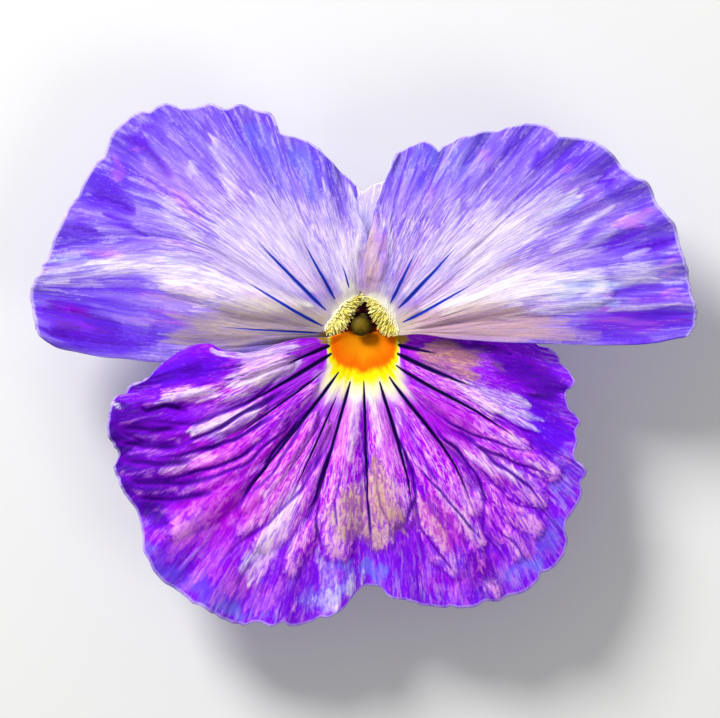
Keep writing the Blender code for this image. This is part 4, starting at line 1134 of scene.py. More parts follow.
LOWER_CREASES = [
    (1.84, 0.12, 0.7, 279, 375, 256, 400, 194, 423, 138, 423),
    (1.95, 0.12, 0.8, 290, 389, 245, 412, 209, 434, 183, 443),
    (1.72, 0.12, 0.8, 279, 412, 234, 440, 178, 457, 152, 458),
    (1.72, 0.12, 0.75, 268, 437, 223, 465, 166, 479, 127, 479),
    (1.61, 0.12, 0.7, 290, 426, 242, 465, 217, 476, 166, 485),
    (1.6, 0.12, 0.82, 310, 410, 285, 440, 256, 476, 234, 513),
    (1.4, 0.12, 0.6, 307, 420, 279, 465, 245, 499),
    (1.5, 0.12, 0.85, 335, 440, 332, 448, 318, 488, 307, 513),
    (1.5, 0.15, 0.62, 327, 448, 302, 488, 268, 524, 242, 538),
    (1.4, 0.12, 0.6, 318, 496, 318, 527, 324, 555), (1.61, 0.1, 0.6, 268, 521, 234, 547, 223, 564),
    (2.6, 0.2, 0.8, 135, 403, 147, 412, 166, 406, 190, 410), (2, 0.15, 0.7, 113, 426, 144, 443, 178, 443),
    (2.7, 0.12, 0.75, 121, 476, 138, 482, 183, 483, 215, 478),
    (2.7, 0.12, 0.75, 116, 424, 150, 430, 182, 428), (2.7, 0.12, 0.75, 116, 442, 150, 447, 186, 446),
    (2.7, 0.12, 0.75, 118, 460, 165, 464, 194, 460), (2.7, 0.12, 0.75, 130, 496, 170, 500, 215, 492),
    (1.18, 0.12, 0.74, 365, 440, 367, 499, 375, 550),
    (1.41, 0.15, 0.82, 390, 415, 398, 437, 411, 471, 416, 499, 406, 524, 396, 530),
    (1.3, 0.15, 0.75, 432, 423, 474, 471, 484, 500, 482, 516),
    (1.18, 0.12, 0.7, 412, 462, 440, 488, 468, 524, 485, 541),
    (1.18, 0.12, 0.66, 415, 482, 420, 527, 457, 578),
    (1.11, 0.12, 0.66, 435, 414, 468, 434, 508, 448, 530, 451),
    (1.18, 0.12, 0.66, 449, 429, 485, 451, 519, 465, 558, 476),
    (1.26, 0.12, 0.7, 463, 437, 496, 462, 530, 488, 546, 509),
    (1.04, 0.12, 0.57, 471, 460, 508, 499, 547, 513), (1.11, 0.12, 0.61, 482, 499, 485, 533, 508, 567),
    (1.11, 0.12, 0.57, 485, 513, 513, 544, 533, 564), (0.96, 0.1, 0.49, 454, 538, 458, 578),
    (1.18, 0.1, 0.49, 345, 470, 336, 500, 338, 530), (1.49, 0.1, 0.5, 252, 560, 236, 590),
    (1.49, 0.1, 0.5, 200, 540, 172, 570), (1.04, 0.1, 0.49, 470, 400, 520, 428, 545, 440)]
print("lobes:", len(LOWER_LOBES), "creases:", len(LOWER_CREASES))

# %% Strokes on the lower petal
LOWER_STROKES = {
    "sky": [(14, 0.6, 295, 605, 345, 590, 352, 568), (11, 0.6, 360, 566, 388, 572),
        (12, 0.6, 498, 583, 540, 560, 562, 520), (10, 0.45, 562, 440, 566, 500),
        (13, 0.62, 140, 545, 166, 572, 200, 594, 244, 612), (5, 0.58, 264, 575, 255, 595),
        (7, 0.43, 205, 598, 240, 612, 290, 620), (9, 0.58, 328, 560, 352, 557),
        (7, 0.72, 366, 561, 376, 579, 388, 567), (6, 0.58, 546, 481, 560, 487),
        (6, 0.58, 528, 569, 542, 561)],
    "deep": [(10, 0.5, 436, 556, 484, 592), (14, 0.7, 145, 380, 180, 366, 226, 360),
        (12, 0.7, 526, 400, 565, 434), (15, 0.8, 535, 405, 552, 455), (13, 0.6, 145, 555, 215, 600),
        (12, 0.5, 210, 592, 285, 608), (12, 0.5, 160, 375, 230, 372), (12, 0.5, 500, 455, 540, 500),
        (9, 0.43, 135, 416, 190, 420), (9, 0.65, 119, 424, 119, 449), (7, 0.65, 124, 461, 128, 480),
        (10, 0.72, 152, 502, 156, 516), (9, 0.5, 217, 530, 203, 551), (5, 0.65, 390, 531, 396, 543),
        (13, 0.5, 495, 357, 540, 375), (7, 0.65, 536, 391, 564, 387), (12, 0.65, 530, 433, 560, 429),
        (5, 0.58, 456, 557, 464, 575), (5, 0.5, 500, 560, 512, 580), (6, 0.43, 212, 362, 190, 372),
        (7, 0.36, 150, 375, 185, 372)],
    "magenta": [(7, 0.6, 150, 432, 210, 440), (7, 0.6, 140, 462, 205, 470), (7, 0.5, 150, 510, 200, 500),
        (24, 0.75, 165, 475, 255, 505), (18, 0.7, 205, 520, 262, 500), (20, 0.6, 215, 450, 275, 445),
        (24, 0.6, 405, 392, 475, 432), (22, 0.5, 200, 445, 252, 490), (18, 0.5, 170, 525, 232, 530),
        (16, 0.55, 195, 562, 268, 588), (14, 0.5, 430, 590, 500, 560), (5, 0.58, 276, 577, 278, 580),
        (8, 0.58, 394, 470, 396, 480), (8, 0.43, 345, 420, 338, 450), (9, 0.43, 300, 420, 285, 445),
        (9, 0.5, 430, 400, 470, 425), (8, 0.43, 430, 430, 455, 460), (15, 0.4, 298, 434, 256, 488),
        (14, 0.4, 438, 422, 488, 458), (13, 0.3, 250, 424, 190, 462), (8, 0.43, 530, 362, 552, 380)],
    "rose": [(8, 0.5, 412, 500, 452, 548), (24, 0.6, 302, 425, 268, 490, 250, 525),
        (15, 0.6, 168, 464, 226, 456), (20, 0.5, 378, 415, 400, 460), (20, 0.55, 430, 490, 462, 540),
        (14, 0.55, 335, 420, 345, 465), (14, 0.5, 150, 540, 250, 545), (12, 0.5, 408, 350, 440, 358),
        (7, 0.5, 408, 346, 438, 354)],
    "night": [(8, 0.5, 155, 378, 205, 364), (16, 0.6, 128, 408, 120, 465, 142, 518),
        # The first stroke here is painted shadow under the right side petal's edge.
        (8, 0.7, 402, 345, 450, 349, 505, 352), (13, 0.85, 120, 395, 115, 440, 124, 495),
        (13, 0.6, 130, 424, 195, 447), (14, 0.7, 125, 470, 200, 472), (12, 0.7, 130, 492, 195, 490),
        (12, 0.9, 145, 505, 168, 522), (9, 0.5, 140, 402, 185, 410), (15, 0.8, 495, 362, 565, 388),
        # The second stroke here is painted shadow under the right side petal's edge.
        (9, 0.7, 530, 394, 560, 388), (9, 0.6, 430, 347, 480, 350), (10, 0.55, 450, 445, 478, 492),
        (9, 0.6, 465, 552, 492, 582), (8, 0.45, 405, 500, 398, 540), (12, 0.4, 300, 395, 262, 440),
        # The last stroke here is painted shade under the curled rim.
        (9, 0.4, 215, 352, 185, 372), (10, 0.5, 330, 425, 320, 460), (6, 0.8, 122, 402, 140, 410, 165, 408),
        # Both strokes here are painted shadow under the right side petal's edge.
        (9, 0.5, 416, 345, 486, 352), (13, 0.3, 424, 356, 484, 368)],
    "tan": [(12, 0.6, 412, 496, 446, 548), (10, 0.6, 340, 524, 405, 531), (19, 0.8, 345, 492, 388, 512),
        (5, 0.58, 235, 382, 276, 378), (11, 0.62, 328, 507, 337, 525, 352, 494),
        (13, 0.9, 371, 465, 382, 500, 402, 520), (9, 0.8, 370, 527, 382, 545),
        (7, 0.43, 322, 545, 345, 548), (16, 0.85, 422, 353, 452, 363, 476, 380),
        (9, 0.65, 450, 357, 474, 367), (8, 0.35, 462, 352, 502, 366), (4, 0.5, 424, 343, 452, 345)],
    "cream": [(8, 0.6, 236, 385, 284, 374), (8, 0.25, 440, 358, 466, 368, 490, 386)],
    "pink": [(3, 0.7, 146, 404, 196, 399), (3, 0.6, 126, 419, 162, 416), (3, 0.65, 130, 436, 184, 440),
        (3, 0.6, 126, 452, 178, 452), (3, 0.65, 122, 471, 160, 474), (3, 0.65, 134, 488, 190, 492),
        (3, 0.6, 150, 512, 196, 506), (9, 0.6, 302, 492, 274, 536, 256, 572), (8, 0.5, 198, 412, 252, 399),
        (10, 0.5, 275, 535, 238, 598), (10, 0.6, 440, 436, 480, 464, 520, 484),
        (12, 0.4, 235, 600, 300, 612, 345, 600), (16, 0.35, 345, 410, 300, 480),
        (16, 0.35, 385, 410, 430, 480, 470, 540), (14, 0.35, 470, 430, 540, 470),
        (10, 0.6, 150, 560, 215, 525), (10, 0.65, 180, 588, 240, 545), (9, 0.65, 208, 604, 264, 558),
        (8, 0.6, 258, 612, 288, 572), (8, 0.6, 425, 592, 440, 545), (8, 0.6, 455, 598, 470, 558),
        (7, 0.6, 500, 582, 516, 538), (8, 0.55, 530, 560, 542, 518),
        (8, 0.58, 165, 470, 190, 462, 224, 450), (4, 0.58, 142, 449, 152, 457),
        (7, 0.65, 172, 538, 196, 518, 211, 510), (4, 0.58, 146, 536, 172, 530),
        (8, 0.58, 231, 514, 247, 538), (4, 0.58, 247, 605, 260, 593),
        (5, 0.65, 420, 501, 430, 523, 448, 551), (4, 0.5, 556, 455, 572, 459),
        (5, 0.58, 516, 535, 530, 555), (6, 0.43, 440, 592, 470, 601), (10, 0.8, 350, 396, 345, 474),
        (10, 0.8, 377, 396, 390, 474), (8, 0.6, 334, 404, 322, 462), (5, 0.5, 380, 410, 388, 440)],
    "white": [(4, 0.6, 160, 402, 200, 394), (12, 0.75, 232, 380, 262, 374, 298, 362),
        (12, 0.65, 298, 486, 268, 540, 250, 582), (10, 0.5, 320, 550, 336, 606),
        (7, 0.6, 465, 452, 525, 480), (4, 0.6, 352, 572, 350, 600), (3, 0.6, 366, 572, 362, 590),
        # The last stroke here is a painted highlight on the curled rim.
        (8, 0.3, 270, 612, 335, 602), (4, 0.95, 112, 391, 117, 400, 121, 408),
        (8, 0.75, 219, 347, 247, 358, 300, 346), (5, 0.58, 264, 370, 288, 365),
        (7, 0.65, 166, 396, 196, 392, 231, 396, 251, 394), (8, 0.9, 190, 430, 227, 420, 262, 408),
        (5, 0.5, 194, 441, 219, 435, 231, 433), (6, 0.54, 162, 468, 186, 461, 219, 451),
        (9, 0.5, 298, 494, 278, 524, 260, 546), (7, 0.43, 258, 548, 243, 565),
        (7, 0.43, 308, 518, 296, 538, 288, 555), (9, 0.43, 312, 598, 356, 588),
        (6, 0.5, 438, 489, 460, 515, 480, 535), (5, 0.5, 504, 471, 530, 487), (5, 0.58, 510, 439, 526, 447),
        (5, 0.5, 520, 457, 550, 469), (6, 0.65, 456, 384, 495, 394, 530, 404),
        (6, 0.6, 466, 393, 503, 408, 540, 420), (5, 0.55, 476, 402, 508, 416, 532, 428),
        (4, 0.43, 366, 395, 366, 405), (6, 0.65, 355, 396, 350, 462), (6, 0.65, 373, 396, 380, 458),
        (7, 0.65, 338, 390, 330, 402), (6, 0.72, 357, 390, 355, 402), (6, 0.72, 373, 390, 376, 408),
        (6, 0.65, 388, 388, 396, 402), (4, 0.5, 396, 410, 402, 440), (6, 0.5, 322, 372, 312, 380)],
    # Painted shade: the corners by the throat and the stigma's shadow at its foot.
    "olive": [(5, 0.9, 323, 334, 326, 343), (6, 0.95, 404, 331, 401, 342), (6, 0.8, 361, 330, 368, 331)],
}
print("lower strokes:", sum(map(len, LOWER_STROKES.values())))

# %% [markdown]
# ## The three petals of the face
# The side petals lie over the lower one's shoulders and over the back petals. Each gets its
# finish, replaces its CAD solid and rides on the flower.

# %% Side petals' finish
def throat_depth(tree):
    """The inside of the throat: orange on the lower petal's side, maroon behind the stigma."""
    upward = add(tree, "SeparateXYZ", None, Vector=object_place(tree)).outputs[1]
    return mix(tree, ramp(tree, upward, 0.0037, 0.0045), linear(226, 110, 4), linear(118, 16, 24))


def side_throat(tree, at, colour):
    """Cream at the lip, dark maroon down in the claw."""
    row = scaled(tree, at.fine, 0.12, at.row)
    colour = mix(tree, ramp(tree, row, 2.05, 2.28, 0.75, 0.0), colour, linear(222, 206, 186))
    whitened = times(tree, at.value["white"], ramp(tree, row, 2.2, 2.35, 0.9, 0.0))
    colour = mix(tree, whitened, colour, linear(254, 250, 236))
    return mix(tree, ramp(tree, row, 1.6, 1.9, 1.0, 0.0), colour, throat_depth(tree))


SIDE_LOOK = {
    "rim_line": linear(206, 192, 248), "ink": linear(30, 60, 200), "throat": side_throat,
    "flecks": (linear(212, 190, 250), 0.45, 0.45, 9.0, 3.0, 0.6, 0.6),
    "stripes": (linear(92, 40, 224), 0.72, 3.6, 0.44, 0.64),
    "rim_streaks": 0.3, "spread": 1.7, "valley": 0.0, "seam_shade_share": 0.3, "bands": 0.3, "net": 0.6, "core": 0.5}
LEFT_LOOK = SIDE_LOOK | {"ground": linear(160, 130, 232), "rim_ground": linear(122, 88, 228),
                         "tan": linear(180, 160, 138)}
RIGHT_LOOK = SIDE_LOOK | {"ground": linear(160, 128, 232), "rim_ground": linear(120, 86, 230),
                          "tan": linear(204, 164, 156)}
left_finish = petal_material("left_petal_face", LEFT_LOOK)
right_finish = petal_material("right_petal_face", RIGHT_LOOK)
petal_back = back_material("petal_back", linear(214, 196, 246), linear(150, 122, 238))
print("nodes in a side petal's finish:", len(left_finish.node_tree.nodes))

# %% Side petals
SIDE_GRID = ((320, 140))
left_marks = {"strokes": LEFT_STROKES, "lobes": LEFT_LOBES}
right_marks = {"strokes": RIGHT_STROKES, "lobes": RIGHT_LOBES, "creases": RIGHT_CREASES}
left_petal = make_petal("petal_side_left_skin", LEFT_SIDE_PETAL, *SIDE_GRID, (left_finish, petal_back),
                        left_marks, pleats=0.12, seed=11)
right_petal = make_petal("petal_side_right_skin", RIGHT_SIDE_PETAL, *SIDE_GRID, (right_finish, petal_back),
                         right_marks, pleats=0.12, seed=21)
for piece, node in ((left_petal, "petal_side_left"), (right_petal, "petal_side_right")):
    settle(piece)
    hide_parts(node)

# %% Lower petal's finish
THROAT_RINGS = ((1.7, 2.7, 0.7, linear(250, 226, 226)), (1.55, 2.3, 1.0, linear(252, 246, 184)),
                (1.35, 1.7, 1.0, linear(255, 238, 8)), (0.92, 1.2, 1.0, linear(255, 112, 0)),
                (0.3, 0.95, 1.0, linear(255, 150, 4)))


def lower_throat(tree, at, colour):
    """Orange in the middle, a yellow ring with a scalloped edge, then white that fades out."""
    value = shaken(tree, value_of(tree, "throat"), at.fine, 0.5)
    for inner, outer, most, paint in THROAT_RINGS:
        colour = mix(tree, ramp(tree, value, inner, outer, most, 0.0), colour, paint)
    return colour


LOWER_LOOK = {
    "ground": linear(166, 0, 234), "rim_ground": linear(128, 28, 244), "rim_line": linear(196, 172, 248),
    "tan": linear(196, 144, 112), "ink": linear(22, 2, 84), "throat": lower_throat,
    "flecks": (linear(236, 108, 240), 0.66, 0.24, 12.0, 11.0, 0.35, 0.9),
    "stripes": (linear(100, 0, 190), 0.45, 6.0, 0.52, 0.66),
    "rim_streaks": 0.42, "spread": 2.8, "valley": 0.55, "seam_shade_share": 0.75, "bands": 0.0, "net": 0.32, "core": 1.0}
lower_finish = petal_material("lower_petal_face", LOWER_LOOK)
lower_back = back_material("lower_petal_back", linear(206, 178, 246), linear(140, 84, 232))

# %% Lower petal
LOWER_GRID = ((390, 124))
lower_marks = {"strokes": LOWER_STROKES, "lobes": LOWER_LOBES, "creases": LOWER_CREASES}
lower_petal = make_petal("petal_lower_skin", LOWER_PETAL, *LOWER_GRID, (lower_finish, lower_back),
                         lower_marks, pleats=0.1, seed=31)
settle(lower_petal)
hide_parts("petal_lower")

# %% [markdown]
# ## The two back petals
# Behind the face two plain lilac petals hold the flower up on the table. From the front only a
# narrow gap shows them, but the part is finished all round. They come from the same functions
# as the others, without strokes, lobes or creases.

# %% Upper petals
UPPER_SINK = 0.37


def plain_throat(tree, at, colour):
    row = scaled(tree, at.fine, 0.3, at.row)
    return mix(tree, ramp(tree, row, 1.9, 2.7, 0.9, 0.0), colour, linear(236, 228, 190))


UPPER_LOOK = SIDE_LOOK | {
    "ground": linear(226, 214, 252), "rim_ground": linear(208, 194, 250), "rim_line": linear(250, 246, 254),
    "tan": linear(236, 226, 208), "ink": INK, "throat": plain_throat,
    "flecks": (linear(250, 246, 254), 0.7, 0.7, 9.0, 3.0, 0.6, 0.6),
    "stripes": (linear(150, 120, 240), 0.4, 2.6, 0.5, 0.7)}
upper_finish = petal_material("upper_petal_face", UPPER_LOOK)
for side, petal, seed in (("left", LEFT_UPPER_PETAL, 41), ("right", RIGHT_UPPER_PETAL, 51)):
    piece = make_petal(f"petal_upper_{side}_skin", petal, 120, 90, (upper_finish, petal_back), {},
                       sink=UPPER_SINK, seed=seed)
    settle(piece)
    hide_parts(f"petal_upper_{side}")

# %% [markdown]
# ## The beards
# Where the side petals enter the throat, each carries a beard: a fleshy ridge with short pale
# bristles that hang inwards over the hole, so that the two beards leave a pointed gap. The ridge
# is a grid laid between the petal's lip and the beard's inner edge. Hair particles would be lost
# on export, so one bristle is modelled from a sphere, pulled into a club, and copied over the
# ridge in staggered rows, each copy with its own mesh.

# %% The beards' tables
BEARDS = {
    "left": {"lip": [(323, 334), (323.5, 327), (327, 318), (333, 310), (341, 301), (350, 295), (362.5, 291)],
             "inner": [(330, 330), (334.5, 329.5), (341, 326), (344, 321), (348, 315), (353, 308.5),
                       (364, 299.5)],
             "height": (9.1, 9.5, 9.65, 9.7, 9.65, 9.5, 9.4), "run": (0.06, 1.0),
             "length": (0.8, 0.9, 1.0, 1.0, 0.85, 0.65, 0.45),
             "lean": [(0.1, -1.0), (0.3, -0.95), (0.5, -0.85), (0.6, -0.75), (0.75, -0.6), (0.85, -0.45),
                      (0.9, -0.35)]},
    "right": {"lip": [(363, 291), (373, 296), (383, 302), (391, 311), (395.5, 318), (399, 326), (400, 332)],
              "inner": [(365, 297.5), (371, 303), (374, 311), (378.5, 317.5), (383, 325.5), (388, 330.5),
                        (396.5, 331)],
              "height": (10.9, 10.7, 10.6, 10.5, 10.4, 10.4, 10.45), "run": (0.0, 0.95),
              "length": (0.45, 0.65, 0.85, 1.0, 1.0, 0.9, 0.8),
              "lean": [(-0.95, -0.2), (-0.9, -0.4), (-0.8, -0.6), (-0.7, -0.7), (-0.55, -0.85),
                       (-0.3, -0.95), (0.1, -1.0)]},
}
LAST_KNOT = 6
RIDGE_SUNK, RIDGE_DROP, RIDGE_SWELL, RIDGE_THICKNESS = 0.12, 0.5, 0.2, 0.25
print("beards:", list(BEARDS))

# %% Ridges under the bristles
def beard_curve(shape, key, run):
    """One of the beard's tables, read at shares of the way along it."""
    table = np.array(shape[key], float).reshape(LAST_KNOT + 1, -1)
    return level(table, LAST_KNOT * run)


def beard_points(shape, run, share):
    """Places in mm on the ridge: run goes along it, share from the lip (0) to the inner edge (1)."""
    lip, inner = (level(plan(np.array(shape[edge], float)), LAST_KNOT * run) for edge in ("lip", "inner"))
    flat = lip + share[:, None] * (inner - lip)
    return np.column_stack([flat, beard_curve(shape, "height", run)[:, 0] - RIDGE_SUNK
                            - RIDGE_DROP * share ** 1.5 + RIDGE_SWELL * np.sin(np.pi * share)])


def ridge_finish():
    made, tree, shader = new_material("beard_ridge", 0.7, specular=0.1)
    fuzz = noise(tree, object_place(tree), 4000.0, 3.0)
    share = shaken(tree, value_of(tree, "inward"), fuzz, 0.5)
    # Cream by the lip, darker yellow-brown towards the inner edge: painted shade under the bristles.
    colour = mix(tree, ramp(tree, share, 0.18, 0.42), linear(232, 222, 208), linear(172, 146, 44))
    colour = mix(tree, ramp(tree, share, 0.6, 0.95), colour, linear(110, 66, 12))
    dress(tree, shader, colour, fuzz, 0.08)
    return made


def make_ridge(name, shape, finish):
    piece, run, share = grid_piece(name, 60, 14)
    move_points(piece.data, beard_points(shape, run, share))
    set_values(piece.data, "inward", share)
    piece.data.materials.append(finish)
    return thicken(piece, RIDGE_THICKNESS, guide=0)


# %% One bristle
BRISTLE_RADIUS, CLUB_SWELL = 0.06, 0.02


def yellow_bristle():
    made, tree, shader = new_material("beard_bristle", 0.5, specular=0.2)
    spot = object_place(tree)
    tipward, inward = value_of(tree, "tipward"), value_of(tree, "inward")
    shade = ramp(tree, noise(tree, spot, 1500.0, 2.0), 0.35, 0.65)
    colour = mix(tree, shade, linear(248, 242, 158), linear(222, 204, 62))
    # Darker at the root: painted shade between the bristles.
    colour = mix(tree, ramp(tree, tipward, 0.0, 0.5, 0.75, 0.0), colour, linear(176, 150, 40))
    # Paler at the club's tip: a painted highlight.
    colour = mix(tree, ramp(tree, tipward, 0.65, 1.0, 0.0, 0.5), colour, linear(254, 248, 180))
    colour = mix(tree, ramp(tree, inward, 0.15, 0.42, 0.95, 0.0), colour, linear(248, 242, 214))
    dress(tree, shader, colour, noise(tree, spot, 6000.0, 2.0), 0.02)
    return made


def model_bristle(finish):
    """A club 1 mm long with its root at the origin, pointing up."""
    deselect()
    bpy.ops.mesh.primitive_uv_sphere_add(segments=7, ring_count=7, radius=0.5 * MM, location=(0, 0, 0.5 * MM))
    made = bpy.context.object
    made.name = "bristle"
    bpy.ops.object.transform_apply(location=True)
    for point in made.data.vertices:
        share = point.co.z / MM
        thick = BRISTLE_RADIUS + CLUB_SWELL * math.sin(math.pi * min(share * 1.15, 1) ** 2)
        flat = math.hypot(point.co.x, point.co.y)
        if flat > 0:
            rounded = math.sqrt(max(0.0, 1 - (2 * share - 1) ** 4))
            point.co.x *= thick * MM / flat * rounded
            point.co.y *= thick * MM / flat * rounded
    set_values(made.data, "tipward", [point.co.z / MM for point in made.data.vertices])
    made.data.materials.append(finish)
    bpy.ops.object.shade_smooth()
    return made


# %% Rows of bristles
BEARD_SEED = 7
BRISTLE_ROWS = ((0.15, 64, 0.2), (0.25, 56, 0.3), (0.37, 42, 0.52), (0.49, 34, 0.78), (0.61, 30, 0.92),
                (0.73, 28, 1.0), (0.85, 26, 1.0), (0.96, 26, 0.9))
LEAN_WOBBLE, ROOT_SUNK = 0.22, 0.1


def copy_of(piece):
    """A copy with its own mesh."""
    copy = piece.copy()
    copy.data = piece.data.copy()
    bpy.context.scene.collection.objects.link(copy)
    return copy


def join_pieces(name, pieces):
    only(pieces[0])
    for piece in pieces:
        piece.select_set(True)
    bpy.ops.object.join()
    made = bpy.context.object
    made.name = made.data.name = name
    return made


def plant(bristle, shape, share, run, size, draw):
    """One copy of the bristle on the ridge; the rows by the lip are thinner and lean back."""
    across = share + draw.uniform(-0.08, 0.08)
    root = beard_points(shape, np.array([run]), np.array([across]).clip(0, 1))[0]
    lean = beard_curve(shape, "lean", np.array([run]))[0] * (1 if share > 0.2 else -1)
    upward = (0.6 if share < 0.35 else 0.3) + draw.uniform(-0.25, 0.25)
    x, y = (float(v) + draw.uniform(-LEAN_WOBBLE, LEAN_WOBBLE) for v in lean)
    lean = Vector((x, y, upward)).normalized()
    copy = copy_of(bristle)
    set_values(copy.data, "inward", [across] * len(copy.data.vertices))
    copy.rotation_mode = "QUATERNION"
    copy.rotation_quaternion = lean.to_track_quat("Z", "Y")
    copy.location = Vector([float(v) for v in root]) * MM - lean * ROOT_SUNK * MM
    thick = (0.5 if share < 0.25 else 1.0) * draw.uniform(0.8, 1.15)
    length = size * float(beard_curve(shape, "length", np.array([run]))[0, 0])
    copy.scale = (thick, thick, length * draw.uniform(0.75, 1.15))
    return copy


def make_beard(name, shape, bristle, draw):
    """Copies of the bristle in rows along a ridge, joined into one piece."""
    first, last = shape["run"]
    copies = []
    for share, count, size in BRISTLE_ROWS:
        for number in range(count):
            way = min(max((number + 0.5 + draw.uniform(-0.4, 0.4)) / count, 0.0), 1.0)
            copies.append(plant(bristle, shape, share, first + way * (last - first), size, draw))
    only(copies[0])
    for copy in copies:
        copy.select_set(True)
    bpy.ops.object.transform_apply(location=True, rotation=True, scale=True)
    return join_pieces(name, copies)


# %% Both beards
bristle = model_bristle(yellow_bristle())
ridge_flesh = ridge_finish()
beard_draw = random.Random(BEARD_SEED)
for side, shape in BEARDS.items():
    ridge = make_ridge(f"beard_ridge_{side}", shape, ridge_flesh)
    for piece in (ridge, make_beard(f"beard_{side}", shape, bristle, beard_draw)):
        settle(piece)
bpy.data.objects.remove(bristle)

# %% [markdown]
# ## The pistil
# A pansy's stigma is a hollow ball on a thin bent style, over a round ovary. Each is a sphere or
# a tube with its own shape; the ball's mouth is pressed in where its faces look at the lower
# petal. They are joined into one piece.

# %% Tubes and balls
def tube_along(name, points, radii, sides, finish):
    """A round tube along the points (mm): a curve with a bevel, turned into a mesh."""
    deselect()
    bpy.ops.curve.primitive_bezier_curve_add()
    curve = bpy.context.object
    curve.name = name
    shape = curve.data
    shape.splines.clear()
    line = shape.splines.new("POLY")
    line.points.add(len(points) - 1)
    for knot, place, radius in zip(line.points, points, radii):
        knot.co = (*(np.asarray(place, float) * MM), 1)
        knot.radius = float(radius)
    shape.dimensions = "3D"
    shape.bevel_depth = MM
    shape.bevel_resolution = max(sides // 4 - 1, 0)
    shape.use_fill_caps = True
    bpy.ops.object.convert(target="MESH")
    made = bpy.context.object
    made.data.materials.append(finish)
    bpy.ops.object.shade_smooth()
    return made


def ball(name, centre, radii, finish, segments=32, rings=20):
    """A sphere scaled to three radii at its place, all in mm."""
    deselect()
    bpy.ops.mesh.primitive_uv_sphere_add(segments=segments, ring_count=rings, radius=MM,
                                         location=[float(v) * MM for v in centre])
    made = bpy.context.object
    made.name = name
    made.scale = radii
    bpy.ops.object.transform_apply(location=True, rotation=True, scale=True)
    made.data.materials.append(finish)
    bpy.ops.object.shade_smooth()
    return made


def at_axis(points):
    """Places given from the flower's axis, in the part's frame."""
    return [(AXIS[0] + x, AXIS[1] + y, z) for x, y, z in points]


# %% Finishes of the pistil
STIGMA = np.array([*(AXIS + (-0.2, -0.8)), 9.95])
STIGMA_RADII = (1.0, 1.0, 0.92)


def stigma_finish():
    made, tree, shader = new_material("stigma", 0.6, specular=0.12)
    spot = object_place(tree)
    height = add(tree, "SeparateXYZ", None, Vector=spot).outputs[2]
    # Painted shade: dark olive below the ball's lit top.
    shade_below_top = ramp(tree, height, (STIGMA[2] + 0.41) * MM, (STIGMA[2] + 0.85) * MM, 0.85, 0.0)
    patch = ramp(tree, noise(tree, spot, 1300.0, 3.0), 0.35, 0.65)
    colour = mix(tree, patch, linear(116, 92, 6), linear(92, 76, 4))
    colour = mix(tree, shade_below_top, colour, linear(46, 42, 2))
    # Paler at the mouth: a painted highlight.
    colour = mix(tree, ramp(tree, value_of(tree, "mouth"), 0.2, 0.9, 0.0, 0.7), colour, linear(140, 140, 40))
    dress(tree, shader, colour, noise(tree, spot, 5000.0, 2.0), 0.03)
    return made


def soft_flesh(name, pale, dark, scale=1200.0):
    made, tree, shader = new_material(name, 0.45, specular=0.25)
    spot = object_place(tree)
    colour = mix(tree, ramp(tree, noise(tree, spot, scale, 3.0), 0.35, 0.65), pale, dark)
    dress(tree, shader, colour, noise(tree, spot, scale * 4, 2.0), 0.03)
    return made


# %% Pistil
MOUTH = np.array([-0.05, -0.75, 0.65])
MOUTH_REACH, MOUTH_DEPTH = 0.5, 0.42
head = ball("stigma_head", STIGMA, STIGMA_RADII, stigma_finish(), 48, 32)
mouth_share = []
for point in head.data.vertices:
    away = (np.array(point.co) / MM - STIGMA)
    away /= np.linalg.norm(away)
    open_share = float(fade(np.linalg.norm(away - MOUTH / np.linalg.norm(MOUTH)) / MOUTH_REACH))
    point.co -= Vector(away * MOUTH_DEPTH * open_share) * MM
    mouth_share.append(open_share)
set_values(head.data, "mouth", mouth_share)
style_flesh = soft_flesh("style_flesh", linear(186, 190, 80), linear(150, 158, 52))
STYLE_ROUTE = at_axis([(0, 0, 6.4), (0, 0, 6.8), (0, -0.02, 7.2), (0.02, -0.12, 7.8), (0.02, -0.3, 8.4),
                       (-0.05, -0.52, 8.9), (-0.14, -0.7, 9.3), (-0.2, -0.8, 9.7)])
style = tube_along("style", STYLE_ROUTE, [0.24, 0.22, 0.22, 0.25, 0.28, 0.33, 0.4, 0.5], 16, style_flesh)
ovary = ball("ovary", (*AXIS, 5.65), (0.55, 0.55, 1.2), style_flesh)
for piece in (style, ovary):
    set_values(piece.data, "mouth", np.zeros(len(piece.data.vertices)))
pistil = join_pieces("pistil_detail", [ovary, style, head])
settle(pistil)
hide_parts("pistil")

# %% [markdown]
# ## The stamens
# Five flat anthers stand round the ovary like a collar. Each has a short filament, two pollen
# sacs and an orange scale on top. One is modelled upright on the axis side, then copied and
# turned about the axis, each copy with its own mesh.

